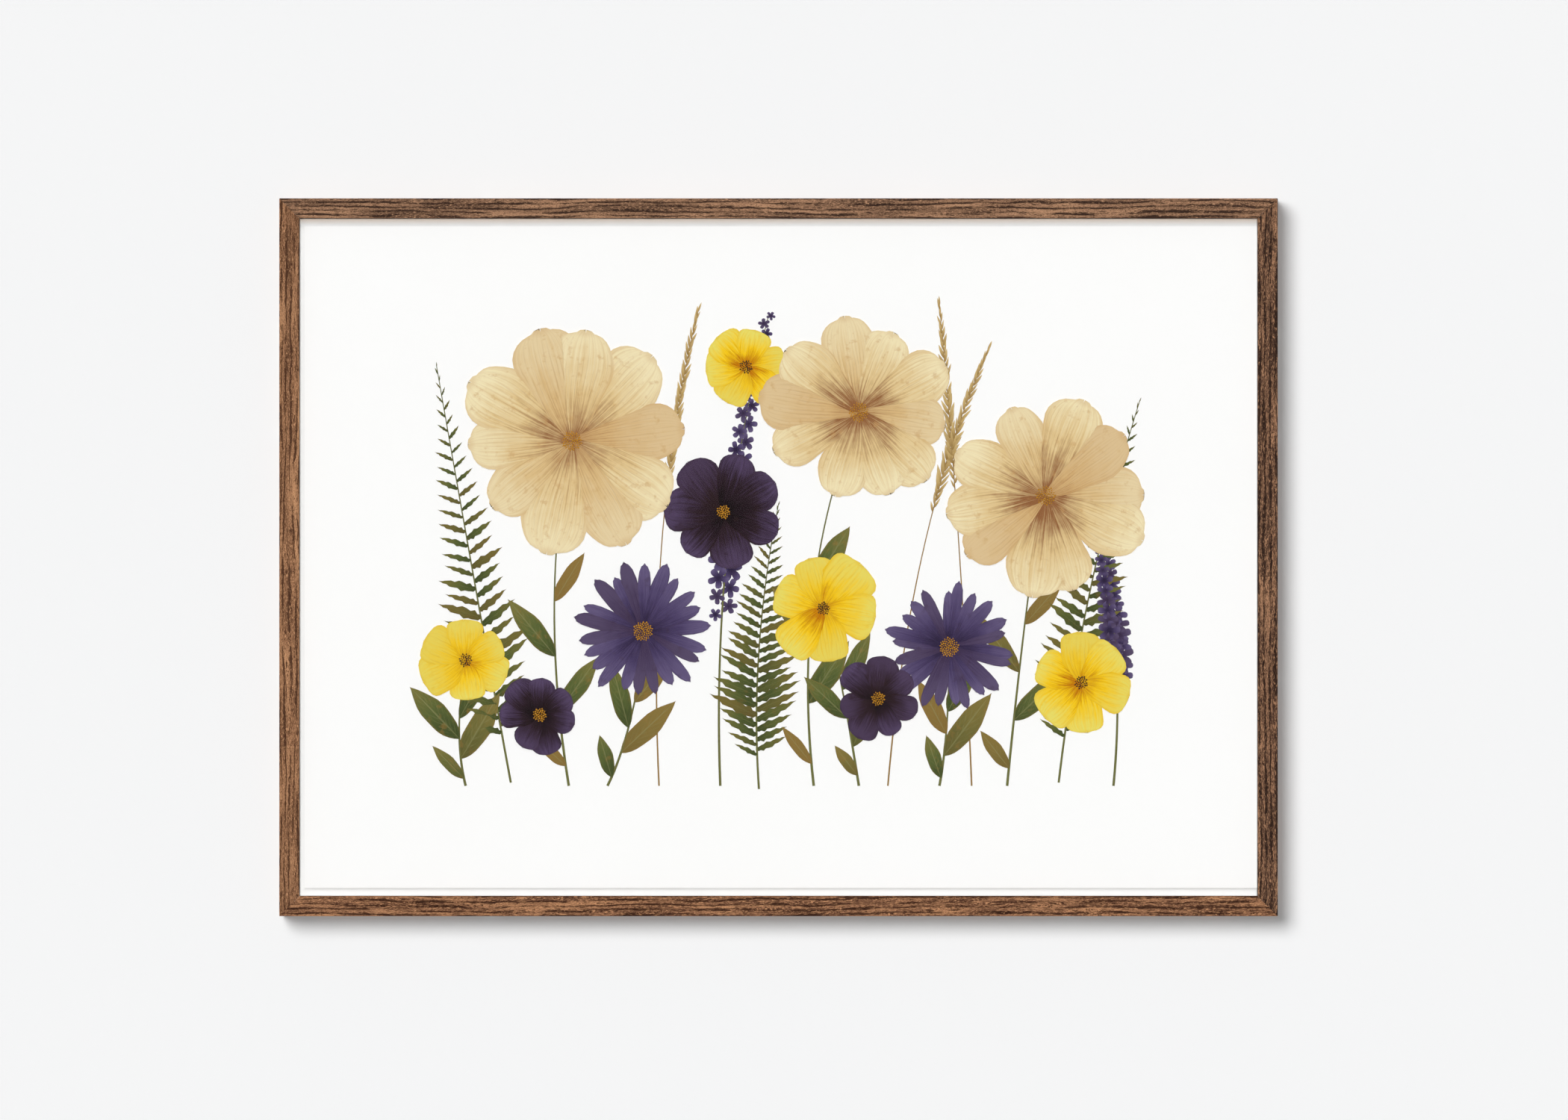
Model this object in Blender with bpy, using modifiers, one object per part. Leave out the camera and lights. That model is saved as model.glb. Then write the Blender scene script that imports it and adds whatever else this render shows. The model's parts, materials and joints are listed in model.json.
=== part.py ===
"""Float-mounted picture frame with its glazing, its backing and its hanging hardware.

Metres, +Z up. The wall is the plane y = 0 and the front faces -Y.
The origin is the frame's centre on the wall.
"""

import math

import bmesh
import bpy
from mathutils import Vector

# Clear opening and rails
SIGHT_WIDTH = 0.594
SIGHT_HEIGHT = 0.420
FACE_WIDTH = 0.0125
LIP_WIDTH = 0.004
LIP_DEPTH = 0.005
EDGE_RADIUS = 0.0004
MITRE_GAP = 0.0001

# Glazing, spacers and boards
GLAZING_THICKNESS = 0.002
SPACER_SETBACK = 0.0012
MOUNT_BOARD_THICKNESS = 0.0015
BACKING_THICKNESS = 0.003
BACKING_RECESS = 0.0003

# Floated sheet: its margins, with the right edge under the lip, and what lifts it off the mount board
SHEET_GAP_LEFT = 0.0029
SHEET_GAP_RIGHT = -0.0008
SHEET_GAP_TOP = 0.0045
SHEET_GAP_BOTTOM = 0.0048
SHEET_THICKNESS = 0.0005
AIR_GAP = 0.002
RISER_MARGIN = 0.030
RISER_THICKNESS = 0.003
TAPE_WIDTH = 0.019
TAPE_INSET = 0.012
TAPE_THICKNESS = 0.0002

# V-shaped corner nails, driven into the back across each mitre
NAIL_LEG = 0.005
NAIL_THICKNESS = 0.0006
NAIL_DEPTH = 0.008
NAIL_INNER_MARGIN = 0.0021

# Pan-head screws
SCREW_HEAD_RADIUS = 0.00275
SCREW_HEAD_HEIGHT = 0.0016
SCREW_RIM_HEIGHT = 0.0007
SCREW_SHANK_RADIUS = 0.0012
SCREW_LENGTH = 0.009
SCREW_TIP = 0.0025
SCREW_SPIN_STEP = math.radians(37)
RECESS_LENGTH = 0.003
RECESS_WIDTH = 0.0006
RECESS_DEPTH = 0.0009

# Turn buttons
BUTTON_EDGE_MARGIN = 0.00025
BUTTON_TIP_RADIUS = 0.003
BUTTON_REACH = 0.020
BUTTON_THICKNESS = 0.001
BUTTON_CORNER_INSET = 0.1295
BUTTON_HANGER_GAP = 0.01485

# Strap hangers and their rings
WIRE_DIAMETER = 0.0016
RING_INNER_WIDTH = 0.007
RING_SIDE = 0.0055
RING_INNER_CORNER = 0.0002
RING_EDGE_MARGIN = 0.0002
RING_SIDE_CLEARANCE = 0.0005
STRAP_THICKNESS = 0.0012
EYE_WALL = 0.0007
HANGER_DROP = 0.0875
HANGER_SCREW_PITCH = 0.0075
STRAP_TAIL_END = 0.004

# Wall bumpers, which keep the hardware clear of the wall
WALL_CLEARANCE = 0.0001
BUMPER_EDGE_MARGIN = 0.00025
BUMPER_EDGE_RADIUS = 0.0008
BUMPER_CORNER_INSET = 0.018

# Clearances
SEAT_GAP = 0.0003
PACK_CLEARANCE = 0.0008
CUTTER_OVERRUN = 0.001
WELD_DISTANCE = 0.000001
FLAT_ANGLE = 0.001

# Facets of round pieces
ARC_STEPS = 6
HOLE_STEPS = 14
TURNED_STEPS = 16
DOME_STEPS = 4
WIRE_RESOLUTION = 2
SHARP_ANGLE = math.radians(40)

# Overall sizes
OUTER_WIDTH = SIGHT_WIDTH + 2 * FACE_WIDTH
OUTER_HEIGHT = SIGHT_HEIGHT + 2 * FACE_WIDTH
RAIL_BACK_WIDTH = FACE_WIDTH - LIP_WIDTH
PACK_WIDTH = SIGHT_WIDTH + 2 * (LIP_WIDTH - PACK_CLEARANCE)
PACK_HEIGHT = SIGHT_HEIGHT + 2 * (LIP_WIDTH - PACK_CLEARANCE)
SPACER_WIDTH = LIP_WIDTH - PACK_CLEARANCE - SPACER_SETBACK
SHEET_WIDTH = SIGHT_WIDTH - SHEET_GAP_LEFT - SHEET_GAP_RIGHT
SHEET_HEIGHT = SIGHT_HEIGHT - SHEET_GAP_TOP - SHEET_GAP_BOTTOM
SHEET_X = (SHEET_GAP_LEFT - SHEET_GAP_RIGHT) / 2
SHEET_Z = (SHEET_GAP_BOTTOM - SHEET_GAP_TOP) / 2
FLOAT_DEPTH = RISER_THICKNESS + TAPE_THICKNESS + SHEET_THICKNESS + 3 * SEAT_GAP + AIR_GAP
SPACER_DEPTH = FLOAT_DEPTH - 2 * SEAT_GAP
GLAZING_LAYER = GLAZING_THICKNESS + SEAT_GAP
BOARDS_LAYER = MOUNT_BOARD_THICKNESS + SEAT_GAP + BACKING_THICKNESS + BACKING_RECESS
RAIL_DEPTH = LIP_DEPTH + GLAZING_LAYER + FLOAT_DEPTH + BOARDS_LAYER

# Hardware on the back: the tallest piece sets how far the rails stand off the wall
EYE_BORE_RADIUS = WIRE_DIAMETER / 2 + SEAT_GAP
EYE_RADIUS = EYE_BORE_RADIUS + EYE_WALL
SCREWED_HEIGHT = max(BUTTON_THICKNESS, STRAP_THICKNESS) + SEAT_GAP + SCREW_HEAD_HEIGHT
STANDOFF = SEAT_GAP + max(2 * EYE_RADIUS, SCREWED_HEIGHT) + WALL_CLEARANCE
BUTTON_PIVOT_RADIUS = RAIL_BACK_WIDTH / 2 - BUTTON_EDGE_MARGIN
BUMPER_RADIUS = RAIL_BACK_WIDTH / 2 - BUMPER_EDGE_MARGIN
NAIL_STRIP = (RAIL_BACK_WIDTH - NAIL_INNER_MARGIN - 2 * NAIL_THICKNESS) / 2
NAIL_INSETS = {"outer": NAIL_STRIP, "inner": 2 * NAIL_STRIP + NAIL_THICKNESS}

# Depths from the wall, each the front face of its layer
RAIL_BACK = -STANDOFF
RAIL_FRONT = RAIL_BACK - RAIL_DEPTH
GLAZING_FRONT = RAIL_FRONT + LIP_DEPTH + SEAT_GAP
SPACER_FRONT = GLAZING_FRONT + GLAZING_THICKNESS + SEAT_GAP
MOUNT_BOARD_FRONT = SPACER_FRONT + SPACER_DEPTH + SEAT_GAP
BACKING_FRONT = MOUNT_BOARD_FRONT + MOUNT_BOARD_THICKNESS + SEAT_GAP
RISER_FRONT = MOUNT_BOARD_FRONT - SEAT_GAP - RISER_THICKNESS
TAPE_FRONT = RISER_FRONT - SEAT_GAP - TAPE_THICKNESS
SHEET_FRONT = TAPE_FRONT - SEAT_GAP - SHEET_THICKNESS

# Hanger places: the ring's axis clears the rail by the strap's eye, and its screws clear the folded ring
RING_AXIS_Y = RAIL_BACK + SEAT_GAP + EYE_RADIUS
RING_AXIS_Z = OUTER_HEIGHT / 2 - HANGER_DROP
RING_CENTRE_WIDTH = RING_INNER_WIDTH + WIRE_DIAMETER
RING_CORNER_RADIUS = WIRE_DIAMETER / 2 + RING_INNER_CORNER
RING_REACH = RING_SIDE + RING_CENTRE_WIDTH / 2 + WIRE_DIAMETER / 2
HANGER_INSET = RING_INNER_WIDTH / 2 + WIRE_DIAMETER + RING_EDGE_MARGIN
HANGER_SCREW_DROP = RING_REACH + SCREW_HEAD_RADIUS + SEAT_GAP
STRAP_TAIL = HANGER_SCREW_DROP + HANGER_SCREW_PITCH + STRAP_TAIL_END
STRAP_WIDTH = RING_INNER_WIDTH - 2 * RING_SIDE_CLEARANCE

# Turn button places, and the seats of all screw heads
BUTTON_OFFSET_LONG = OUTER_WIDTH / 2 - BUTTON_CORNER_INSET
BUTTON_OFFSET_SHORT = RING_AXIS_Z - STRAP_TAIL - BUTTON_REACH - BUTTON_HANGER_GAP
BUTTON_FRONT = RAIL_BACK + SEAT_GAP
BUTTON_SCREW_SEAT = BUTTON_FRONT + BUTTON_THICKNESS + SEAT_GAP
STRAP_SCREW_SEAT = RAIL_BACK + SEAT_GAP + STRAP_THICKNESS + SEAT_GAP
SCREW_HOLE_RADIUS = SCREW_SHANK_RADIUS + SEAT_GAP
BUTTON_INSET = RAIL_BACK_WIDTH / 2

# Each side's turn about Y, which carries +X to the direction from that side into the frame
SIDE_TURNS = {"left": 0.0, "top": math.pi / 2, "right": math.pi, "bottom": 1.5 * math.pi}
CORNER_TURNS = {
    "top_right": 0.0,
    "bottom_right": math.pi / 2,
    "bottom_left": math.pi,
    "top_left": 1.5 * math.pi,
}


def srgb(red, green, blue):
    """Linear colour of a screen colour given from 0 to 255."""
    levels = [level / 255 for level in (red, green, blue)]
    return [level / 12.92 if level <= 0.04045 else ((level + 0.055) / 1.055) ** 2.4 for level in levels]


def make_material(name, colour, roughness, metallic=0.0, transmission=0.0):
    """A Principled material with one colour."""
    material = bpy.data.materials.new(name)
    material.use_nodes = True
    shader = material.node_tree.nodes["Principled BSDF"]
    shader.inputs["Base Color"].default_value = (*colour, 1.0)
    shader.inputs["Roughness"].default_value = roughness
    shader.inputs["Metallic"].default_value = metallic
    shader.inputs["Transmission Weight"].default_value = transmission
    material.diffuse_color = (*colour, 1.0)
    return material


def clear_scene():
    """Removes every object, so that only the frame is left."""
    for obj in list(bpy.data.objects):
        bpy.data.objects.remove(obj)


def make_collection(name, helpers=False):
    """A collection linked to the scene; one of helpers stays out of renders."""
    collection = bpy.data.collections.new(name)
    collection.hide_render = helpers
    bpy.context.scene.collection.children.link(collection)
    return collection


def place(name, mesh, material, location, rotation=(0.0, 0.0, 0.0)):
    """A named piece of the frame from a mesh, which other pieces may share."""
    if material.name not in mesh.materials:
        mesh.materials.append(material)
    obj = bpy.data.objects.new(name, mesh)
    obj.location = location
    obj.rotation_euler = rotation
    obj.parent = ORIGIN
    PARTS.objects.link(obj)
    return obj


def place_cutter(name, mesh, location, rotation):
    """A helper that only cuts other pieces."""
    obj = bpy.data.objects.new(name, mesh)
    obj.location = location
    obj.rotation_euler = rotation
    obj.hide_render = True
    obj.display_type = "WIRE"
    CUTTERS.objects.link(obj)
    return obj


def cut(piece, cutter):
    """Takes the cutter's shape out of a piece."""
    modifier = piece.modifiers.new(cutter.name, "BOOLEAN")
    modifier.operation = "DIFFERENCE"
    modifier.object = cutter


def bake(obj):
    """The mesh of an object with its modifiers applied, welded and with whole flat faces.

    The object itself is removed.
    """
    graph = bpy.context.evaluated_depsgraph_get()
    mesh = bpy.data.meshes.new_from_object(obj.evaluated_get(graph))
    bpy.data.objects.remove(obj)
    form = bmesh.new()
    form.from_mesh(mesh)
    bmesh.ops.remove_doubles(form, verts=form.verts, dist=WELD_DISTANCE)
    bmesh.ops.dissolve_limit(form, angle_limit=FLAT_ANGLE, verts=form.verts, edges=form.edges)
    bmesh.ops.recalc_face_normals(form, faces=form.faces)
    form.to_mesh(mesh)
    form.free()
    return mesh


def shade_round(mesh):
    """Smooth shading on round faces, with true edges left sharp."""
    mesh.shade_smooth()
    mesh.set_sharp_from_angle(angle=SHARP_ANGLE)
    return mesh


def arc(centre, radius, start, end, steps=ARC_STEPS):
    """Points of a circular arc, both ends included."""
    angles = [start + (end - start) * step / steps for step in range(steps + 1)]
    return [(centre[0] + radius * math.cos(a), centre[1] + radius * math.sin(a)) for a in angles]


def circle(radius, steps=HOLE_STEPS):
    """Points of a full circle about the origin, without a double point."""
    return arc((0.0, 0.0), radius, 0.0, 2 * math.pi, steps)[:-1]


def rounded(corners, steps=ARC_STEPS):
    """A counter-clockwise outline whose corners, given as (x, y, radius), are replaced by arcs."""
    outline = []
    for index, (x, y, radius) in enumerate(corners):
        corner = Vector((x, y))
        before = (Vector(corners[index - 1][:2]) - corner).normalized()
        after = (Vector(corners[(index + 1) % len(corners)][:2]) - corner).normalized()
        if not radius:
            outline.append((x, y))
            continue
        half_angle = before.angle(after) / 2
        centre = corner + (before + after).normalized() * radius / math.sin(half_angle)
        side = before.cross(after)
        sweep = math.copysign(math.pi - 2 * half_angle, -side)
        first = corner + before * radius / math.tan(half_angle) - centre
        start = math.atan2(first.y, first.x)
        outline += arc(centre, radius, start, start + sweep, steps)
    neighbours = zip(outline, outline[-1:] + outline[:-1])
    return [point for point, previous in neighbours if math.dist(point, previous) > WELD_DISTANCE]


def add_spline(curve, points):
    """A closed straight-sided spline through the points."""
    spline = curve.splines.new("POLY")
    spline.points.add(len(points) - 1)
    for point, (x, y) in zip(spline.points, points):
        point.co = (x, y, 0.0, 1.0)
    spline.use_cyclic_u = True


def outline_mesh(name, outlines, thickness):
    """A plate of the given outlines, the later ones holes, centred on its own XY plane."""
    curve = bpy.data.curves.new(name, "CURVE")
    curve.dimensions = "2D"
    curve.fill_mode = "BOTH"
    curve.extrude = thickness / 2
    for points in outlines:
        add_spline(curve, points)
    obj = bpy.data.objects.new(name, curve)
    CUTTERS.objects.link(obj)
    return bake(obj)


def wire_mesh(name, points, diameter):
    """A closed loop of round wire."""
    curve = bpy.data.curves.new(name, "CURVE")
    curve.dimensions = "3D"
    curve.bevel_depth = diameter / 2
    curve.bevel_resolution = WIRE_RESOLUTION
    add_spline(curve, points)
    obj = bpy.data.objects.new(name, curve)
    CUTTERS.objects.link(obj)
    return shade_round(bake(obj))


def turned_object(name, profile):
    """An object turned about Z from a profile of (radius, height) that runs from its top to its foot."""
    mesh = bpy.data.meshes.new(name)
    edges = [(index, index + 1) for index in range(len(profile) - 1)]
    mesh.from_pydata([(radius, 0.0, height) for radius, height in profile], edges, [])
    obj = bpy.data.objects.new(name, mesh)
    CUTTERS.objects.link(obj)
    screw = obj.modifiers.new("turn", "SCREW")
    screw.steps = TURNED_STEPS
    screw.render_steps = TURNED_STEPS
    screw.use_merge_vertices = True
    screw.merge_threshold = WELD_DISTANCE
    return obj


def box_mesh(name, size):
    """A box of the given size about its own centre."""
    form = bmesh.new()
    bmesh.ops.create_cube(form, size=1.0)
    bmesh.ops.scale(form, vec=size, verts=form.verts)
    mesh = bpy.data.meshes.new(name)
    form.to_mesh(mesh)
    form.free()
    return mesh


def cylinder_mesh(name, radius, top, foot):
    """A cylinder along Z between two heights."""
    form = bmesh.new()
    bmesh.ops.create_cone(
        form, cap_ends=True, segments=HOLE_STEPS, radius1=radius, radius2=radius, depth=top - foot
    )
    bmesh.ops.translate(form, vec=(0.0, 0.0, (top + foot) / 2), verts=form.verts)
    mesh = bpy.data.meshes.new(name)
    form.to_mesh(mesh)
    form.free()
    return mesh


def inward(side):
    """Unit vector from a side of the frame towards its middle."""
    turn = SIDE_TURNS[side]
    return Vector((math.cos(turn), 0.0, -math.sin(turn)))


def on_rail(side, inset, offset, y):
    """A point on a rail: its distance in from the outer edge, its place along the rail and its depth."""
    across = inward(side)
    along = Vector((abs(across.z), 0.0, abs(across.x)))
    edge = Vector((-across.x * OUTER_WIDTH / 2, y, -across.z * OUTER_HEIGHT / 2))
    return edge + across * inset + along * offset


def corner_point(corner, inset, y):
    """A point on a corner's mitre line."""
    vertical, horizontal = corner.split("_")
    x = math.copysign(OUTER_WIDTH / 2 - inset, 1 if horizontal == "right" else -1)
    z = math.copysign(OUTER_HEIGHT / 2 - inset, 1 if vertical == "top" else -1)
    return Vector((x, y, z))


def rail_mesh(name, length):
    """A mitred rail: X runs in from its outer edge, Y from its back to its front and Z along it."""
    lip_back = RAIL_DEPTH - LIP_DEPTH
    profile = rounded(
        [
            (0.0, 0.0, EDGE_RADIUS / 2),
            (RAIL_BACK_WIDTH, 0.0, 0.0),
            (RAIL_BACK_WIDTH, lip_back, 0.0),
            (FACE_WIDTH, lip_back, 0.0),
            (FACE_WIDTH, RAIL_DEPTH, EDGE_RADIUS),
            (0.0, RAIL_DEPTH, EDGE_RADIUS),
        ]
    )
    mesh = outline_mesh(name, [profile], length)
    setback = MITRE_GAP / math.sqrt(2)
    for vertex in mesh.vertices:
        vertex.co.z -= math.copysign(vertex.co.x + setback, vertex.co.z)
    return shade_round(mesh)


def add_rails(material):
    """The four rails, by side."""
    rails = {}
    for side, turn in SIDE_TURNS.items():
        length = OUTER_HEIGHT if side in ("left", "right") else OUTER_WIDTH
        mesh = rail_mesh(f"rail_{side}", length)
        location = on_rail(side, 0.0, 0.0, RAIL_BACK)
        rails[side] = place(f"rail_{side}", mesh, material, location, (math.pi, turn, 0.0))
    return rails


def nail_outline(grow):
    """The corner nail's plan, its legs along -X and -Y, grown by a clearance."""
    far = -NAIL_LEG - grow
    inner = -NAIL_THICKNESS - grow
    return [(grow, grow), (far, grow), (far, inner), (inner, inner), (inner, far), (grow, far)]


def add_corner_nails(rails, material):
    """Two nails across each mitre, in slots cut from both rails."""
    slot_depth = NAIL_DEPTH + 2 * SEAT_GAP + CUTTER_OVERRUN
    nail = outline_mesh("corner_nail", [nail_outline(0.0)], NAIL_DEPTH)
    slot = outline_mesh("corner_nail_slot", [nail_outline(SEAT_GAP)], slot_depth)
    nail_y = RAIL_BACK - SEAT_GAP - NAIL_DEPTH / 2
    slot_y = RAIL_BACK + CUTTER_OVERRUN - slot_depth / 2
    for corner, turn in CORNER_TURNS.items():
        rotation = (math.pi / 2, turn, 0.0)
        for row, inset in NAIL_INSETS.items():
            name = f"corner_nail_{corner}_{row}"
            place(name, nail, material, corner_point(corner, inset, nail_y), rotation)
            cutter = place_cutter(f"{name}_slot", slot, corner_point(corner, inset, slot_y), rotation)
            for side in corner.split("_"):
                cut(rails[side], cutter)


def add_pack(materials):
    """Everything that lies in the rebate: pane, spacers, boards, riser, tape and sheet."""

    def layer(name, material, width, height, thickness, front, x=0.0, z=0.0):
        mesh = box_mesh(name, (width, thickness, height))
        place(name, mesh, materials[material], (x, front + thickness / 2, z))

    layer("glazing", "clear_acrylic", PACK_WIDTH, PACK_HEIGHT, GLAZING_THICKNESS, GLAZING_FRONT)
    spacer_z = (PACK_HEIGHT - SPACER_WIDTH) / 2
    spacer_x = (PACK_WIDTH - SPACER_WIDTH) / 2
    side_height = PACK_HEIGHT - 2 * (SPACER_WIDTH + SEAT_GAP)
    for name, z in (("spacer_top", spacer_z), ("spacer_bottom", -spacer_z)):
        layer(name, "white_spacer", PACK_WIDTH, SPACER_WIDTH, SPACER_DEPTH, SPACER_FRONT, z=z)
    for name, x in (("spacer_left", -spacer_x), ("spacer_right", spacer_x)):
        layer(name, "white_spacer", SPACER_WIDTH, side_height, SPACER_DEPTH, SPACER_FRONT, x=x)
    layer("mount_board", "mount_board", PACK_WIDTH, PACK_HEIGHT, MOUNT_BOARD_THICKNESS, MOUNT_BOARD_FRONT)
    layer("backing_board", "hardboard", PACK_WIDTH, PACK_HEIGHT, BACKING_THICKNESS, BACKING_FRONT)
    riser_width = SHEET_WIDTH - 2 * RISER_MARGIN
    riser_height = SHEET_HEIGHT - 2 * RISER_MARGIN
    middle = (SHEET_X, SHEET_Z)
    layer("float_riser", "foam_board", riser_width, riser_height, RISER_THICKNESS, RISER_FRONT, *middle)
    tape_z = riser_height / 2 - TAPE_INSET - TAPE_WIDTH / 2
    tape_length = riser_width - 2 * TAPE_INSET
    for name, z in (("sheet_tape_upper", SHEET_Z + tape_z), ("sheet_tape_lower", SHEET_Z - tape_z)):
        layer(name, "mounting_tape", tape_length, TAPE_WIDTH, TAPE_THICKNESS, TAPE_FRONT, SHEET_X, z)
    layer("art_sheet", "white_paper", SHEET_WIDTH, SHEET_HEIGHT, SHEET_THICKNESS, SHEET_FRONT, *middle)


def screw_mesh():
    """A pan-head screw on Z, its head above the XY plane, with a cross recess."""
    crown = SCREW_HEAD_HEIGHT - SCREW_RIM_HEIGHT
    angles = [math.pi / 2 * step / DOME_STEPS for step in range(DOME_STEPS + 1)]
    dome = [(SCREW_HEAD_RADIUS * math.sin(a), SCREW_RIM_HEIGHT + crown * math.cos(a)) for a in angles]
    shank = [
        (SCREW_HEAD_RADIUS, 0.0),
        (SCREW_SHANK_RADIUS, 0.0),
        (SCREW_SHANK_RADIUS, SCREW_TIP - SCREW_LENGTH),
        (0.0, -SCREW_LENGTH),
    ]
    screw = turned_object("screw", dome + shank)
    recess_z = SCREW_HEAD_HEIGHT + (CUTTER_OVERRUN - RECESS_DEPTH) / 2
    recess_height = RECESS_DEPTH + CUTTER_OVERRUN
    slots = []
    for turn in (0.0, math.pi / 2):
        mesh = box_mesh("screw_recess", (RECESS_LENGTH, RECESS_WIDTH, recess_height))
        slots.append(place_cutter("screw_recess", mesh, (0.0, 0.0, recess_z), (0.0, 0.0, turn)))
        cut(screw, slots[-1])
    mesh = shade_round(bake(screw))
    for slot in slots:
        bpy.data.objects.remove(slot)
    return mesh


def add_screw(name, mesh, material, seat, pieces):
    """A screw with its head's underside at the seat, and its hole in each piece that it passes through.

    Each screw stops at an angle of its own.
    """
    rotation = (-math.pi / 2, SCREW_SPIN_STEP * len(PARTS.objects), 0.0)
    place(name, mesh, material, seat, rotation)
    hole = cylinder_mesh(f"{name}_hole", SCREW_HOLE_RADIUS, CUTTER_OVERRUN, -SCREW_LENGTH - SEAT_GAP)
    cutter = place_cutter(f"{name}_hole", hole, seat, rotation)
    for piece in pieces:
        cut(piece, cutter)


def button_outline():
    """A tab that narrows from its pivot at the origin to its tip along +X."""
    tip = BUTTON_REACH - BUTTON_TIP_RADIUS
    lean = math.asin((BUTTON_PIVOT_RADIUS - BUTTON_TIP_RADIUS) / tip)
    start = math.pi / 2 - lean
    pivot_end = arc((0.0, 0.0), BUTTON_PIVOT_RADIUS, start, 2 * math.pi - start, 2 * ARC_STEPS)
    return pivot_end + arc((tip, 0.0), BUTTON_TIP_RADIUS, -start, start, 2 * ARC_STEPS)


def add_turn_buttons(rails, screw, materials):
    """Two turn buttons a rail, each on its own screw and turned over the backing."""
    outlines = [button_outline(), circle(SCREW_HOLE_RADIUS)]
    button = shade_round(outline_mesh("turn_button", outlines, BUTTON_THICKNESS))
    for side, turn in SIDE_TURNS.items():
        upright = side in ("left", "right")
        ends = ("lower", "upper") if upright else ("left", "right")
        reach = BUTTON_OFFSET_SHORT if upright else BUTTON_OFFSET_LONG
        for end, offset in zip(ends, (-reach, reach)):
            middle = on_rail(side, BUTTON_INSET, offset, BUTTON_FRONT + BUTTON_THICKNESS / 2)
            rotation = (math.pi / 2, turn, 0.0)
            place(f"turn_button_{side}_{end}", button, materials["zinc_steel"], middle, rotation)
            seat = on_rail(side, BUTTON_INSET, offset, BUTTON_SCREW_SEAT)
            add_screw(f"button_screw_{side}_{end}", screw, materials["screw_steel"], seat, [rails[side]])


def strap_mesh():
    """A strap rolled into an eye: X runs up to the eye's axis, Y out from the rail and Z across."""
    back = STRAP_THICKNESS - EYE_RADIUS
    join = math.pi + math.asin(-back / EYE_RADIUS)
    eye = arc((0.0, 0.0), EYE_RADIUS, -math.pi / 2, join, 3 * ARC_STEPS)
    outline = [(-STRAP_TAIL, -EYE_RADIUS), *eye, (-STRAP_TAIL, back)]
    return shade_round(outline_mesh("hanger_strap", [outline, circle(EYE_BORE_RADIUS)], STRAP_WIDTH))


def ring_mesh():
    """A D-shaped ring whose bar lies along X at the origin."""
    half = RING_CENTRE_WIDTH / 2
    top = RING_SIDE + half
    corners = [
        (-half, 0.0, RING_CORNER_RADIUS),
        (half, 0.0, RING_CORNER_RADIUS),
        (half, top, half),
        (-half, top, half),
    ]
    return wire_mesh("hanger_ring", rounded(corners), WIRE_DIAMETER)


def add_hangers(rails, screw, materials):
    """A strap, a ring and two screws high on each side rail."""
    ring = ring_mesh()
    for side in ("left", "right"):
        axis = on_rail(side, HANGER_INSET, RING_AXIS_Z, RING_AXIS_Y)
        turn = (0.0, -math.pi / 2, 0.0)
        strap = place(f"hanger_strap_{side}", strap_mesh(), materials["nickel"], axis, turn)
        place(f"hanger_ring_{side}", ring, materials["ring_wire"], axis, (math.pi / 2, 0.0, 0.0))
        drops = {"upper": HANGER_SCREW_DROP, "lower": HANGER_SCREW_DROP + HANGER_SCREW_PITCH}
        for row, drop in drops.items():
            seat = on_rail(side, HANGER_INSET, RING_AXIS_Z - drop, STRAP_SCREW_SEAT)
            name = f"hanger_screw_{side}_{row}"
            add_screw(name, screw, materials["screw_steel"], seat, [strap, rails[side]])


def add_bumpers(material):
    """A soft bumper near each end of the top and bottom rails, flat where it meets the wall."""
    height = STANDOFF - SEAT_GAP
    rim = BUMPER_RADIUS - BUMPER_EDGE_RADIUS
    edge = arc((rim, height - BUMPER_EDGE_RADIUS), BUMPER_EDGE_RADIUS, math.pi / 2, 0.0, ARC_STEPS // 2)
    profile = [(0.0, height), *edge, (BUMPER_RADIUS, 0.0), (0.0, 0.0)]
    mesh = shade_round(bake(turned_object("wall_bumper", profile)))
    reach = OUTER_WIDTH / 2 - BUMPER_CORNER_INSET
    for side in ("top", "bottom"):
        for end, offset in (("left", -reach), ("right", reach)):
            foot = on_rail(side, RAIL_BACK_WIDTH / 2, offset, RAIL_BACK + SEAT_GAP)
            place(f"wall_bumper_{side}_{end}", mesh, material, foot, (-math.pi / 2, 0.0, 0.0))


def build():
    """Models the whole frame."""
    materials = {
        "stained_oak": make_material("stained_oak", srgb(122, 89, 67), 0.6),
        "clear_acrylic": make_material("clear_acrylic", srgb(250, 252, 252), 0.02, transmission=1.0),
        "white_spacer": make_material("white_spacer", srgb(244, 243, 240), 0.5),
        "mount_board": make_material("mount_board", srgb(248, 246, 242), 0.85),
        "foam_board": make_material("foam_board", srgb(246, 246, 244), 0.8),
        "mounting_tape": make_material("mounting_tape", srgb(236, 228, 206), 0.6),
        "white_paper": make_material("white_paper", srgb(252, 252, 250), 0.85),
        "hardboard": make_material("hardboard", srgb(150, 113, 80), 0.7),
        "nail_steel": make_material("nail_steel", srgb(150, 150, 152), 0.4, metallic=1.0),
        "zinc_steel": make_material("zinc_steel", srgb(196, 197, 196), 0.35, metallic=1.0),
        "screw_steel": make_material("screw_steel", srgb(188, 186, 180), 0.3, metallic=1.0),
        "nickel": make_material("nickel", srgb(205, 200, 190), 0.25, metallic=1.0),
        "ring_wire": make_material("ring_wire", srgb(210, 206, 198), 0.2, metallic=1.0),
        "bumper_rubber": make_material("bumper_rubber", srgb(70, 68, 66), 0.8),
    }
    rails = add_rails(materials["stained_oak"])
    add_corner_nails(rails, materials["nail_steel"])
    add_pack(materials)
    screw = screw_mesh()
    add_turn_buttons(rails, screw, materials)
    add_hangers(rails, screw, materials)
    add_bumpers(materials["bumper_rubber"])


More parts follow.
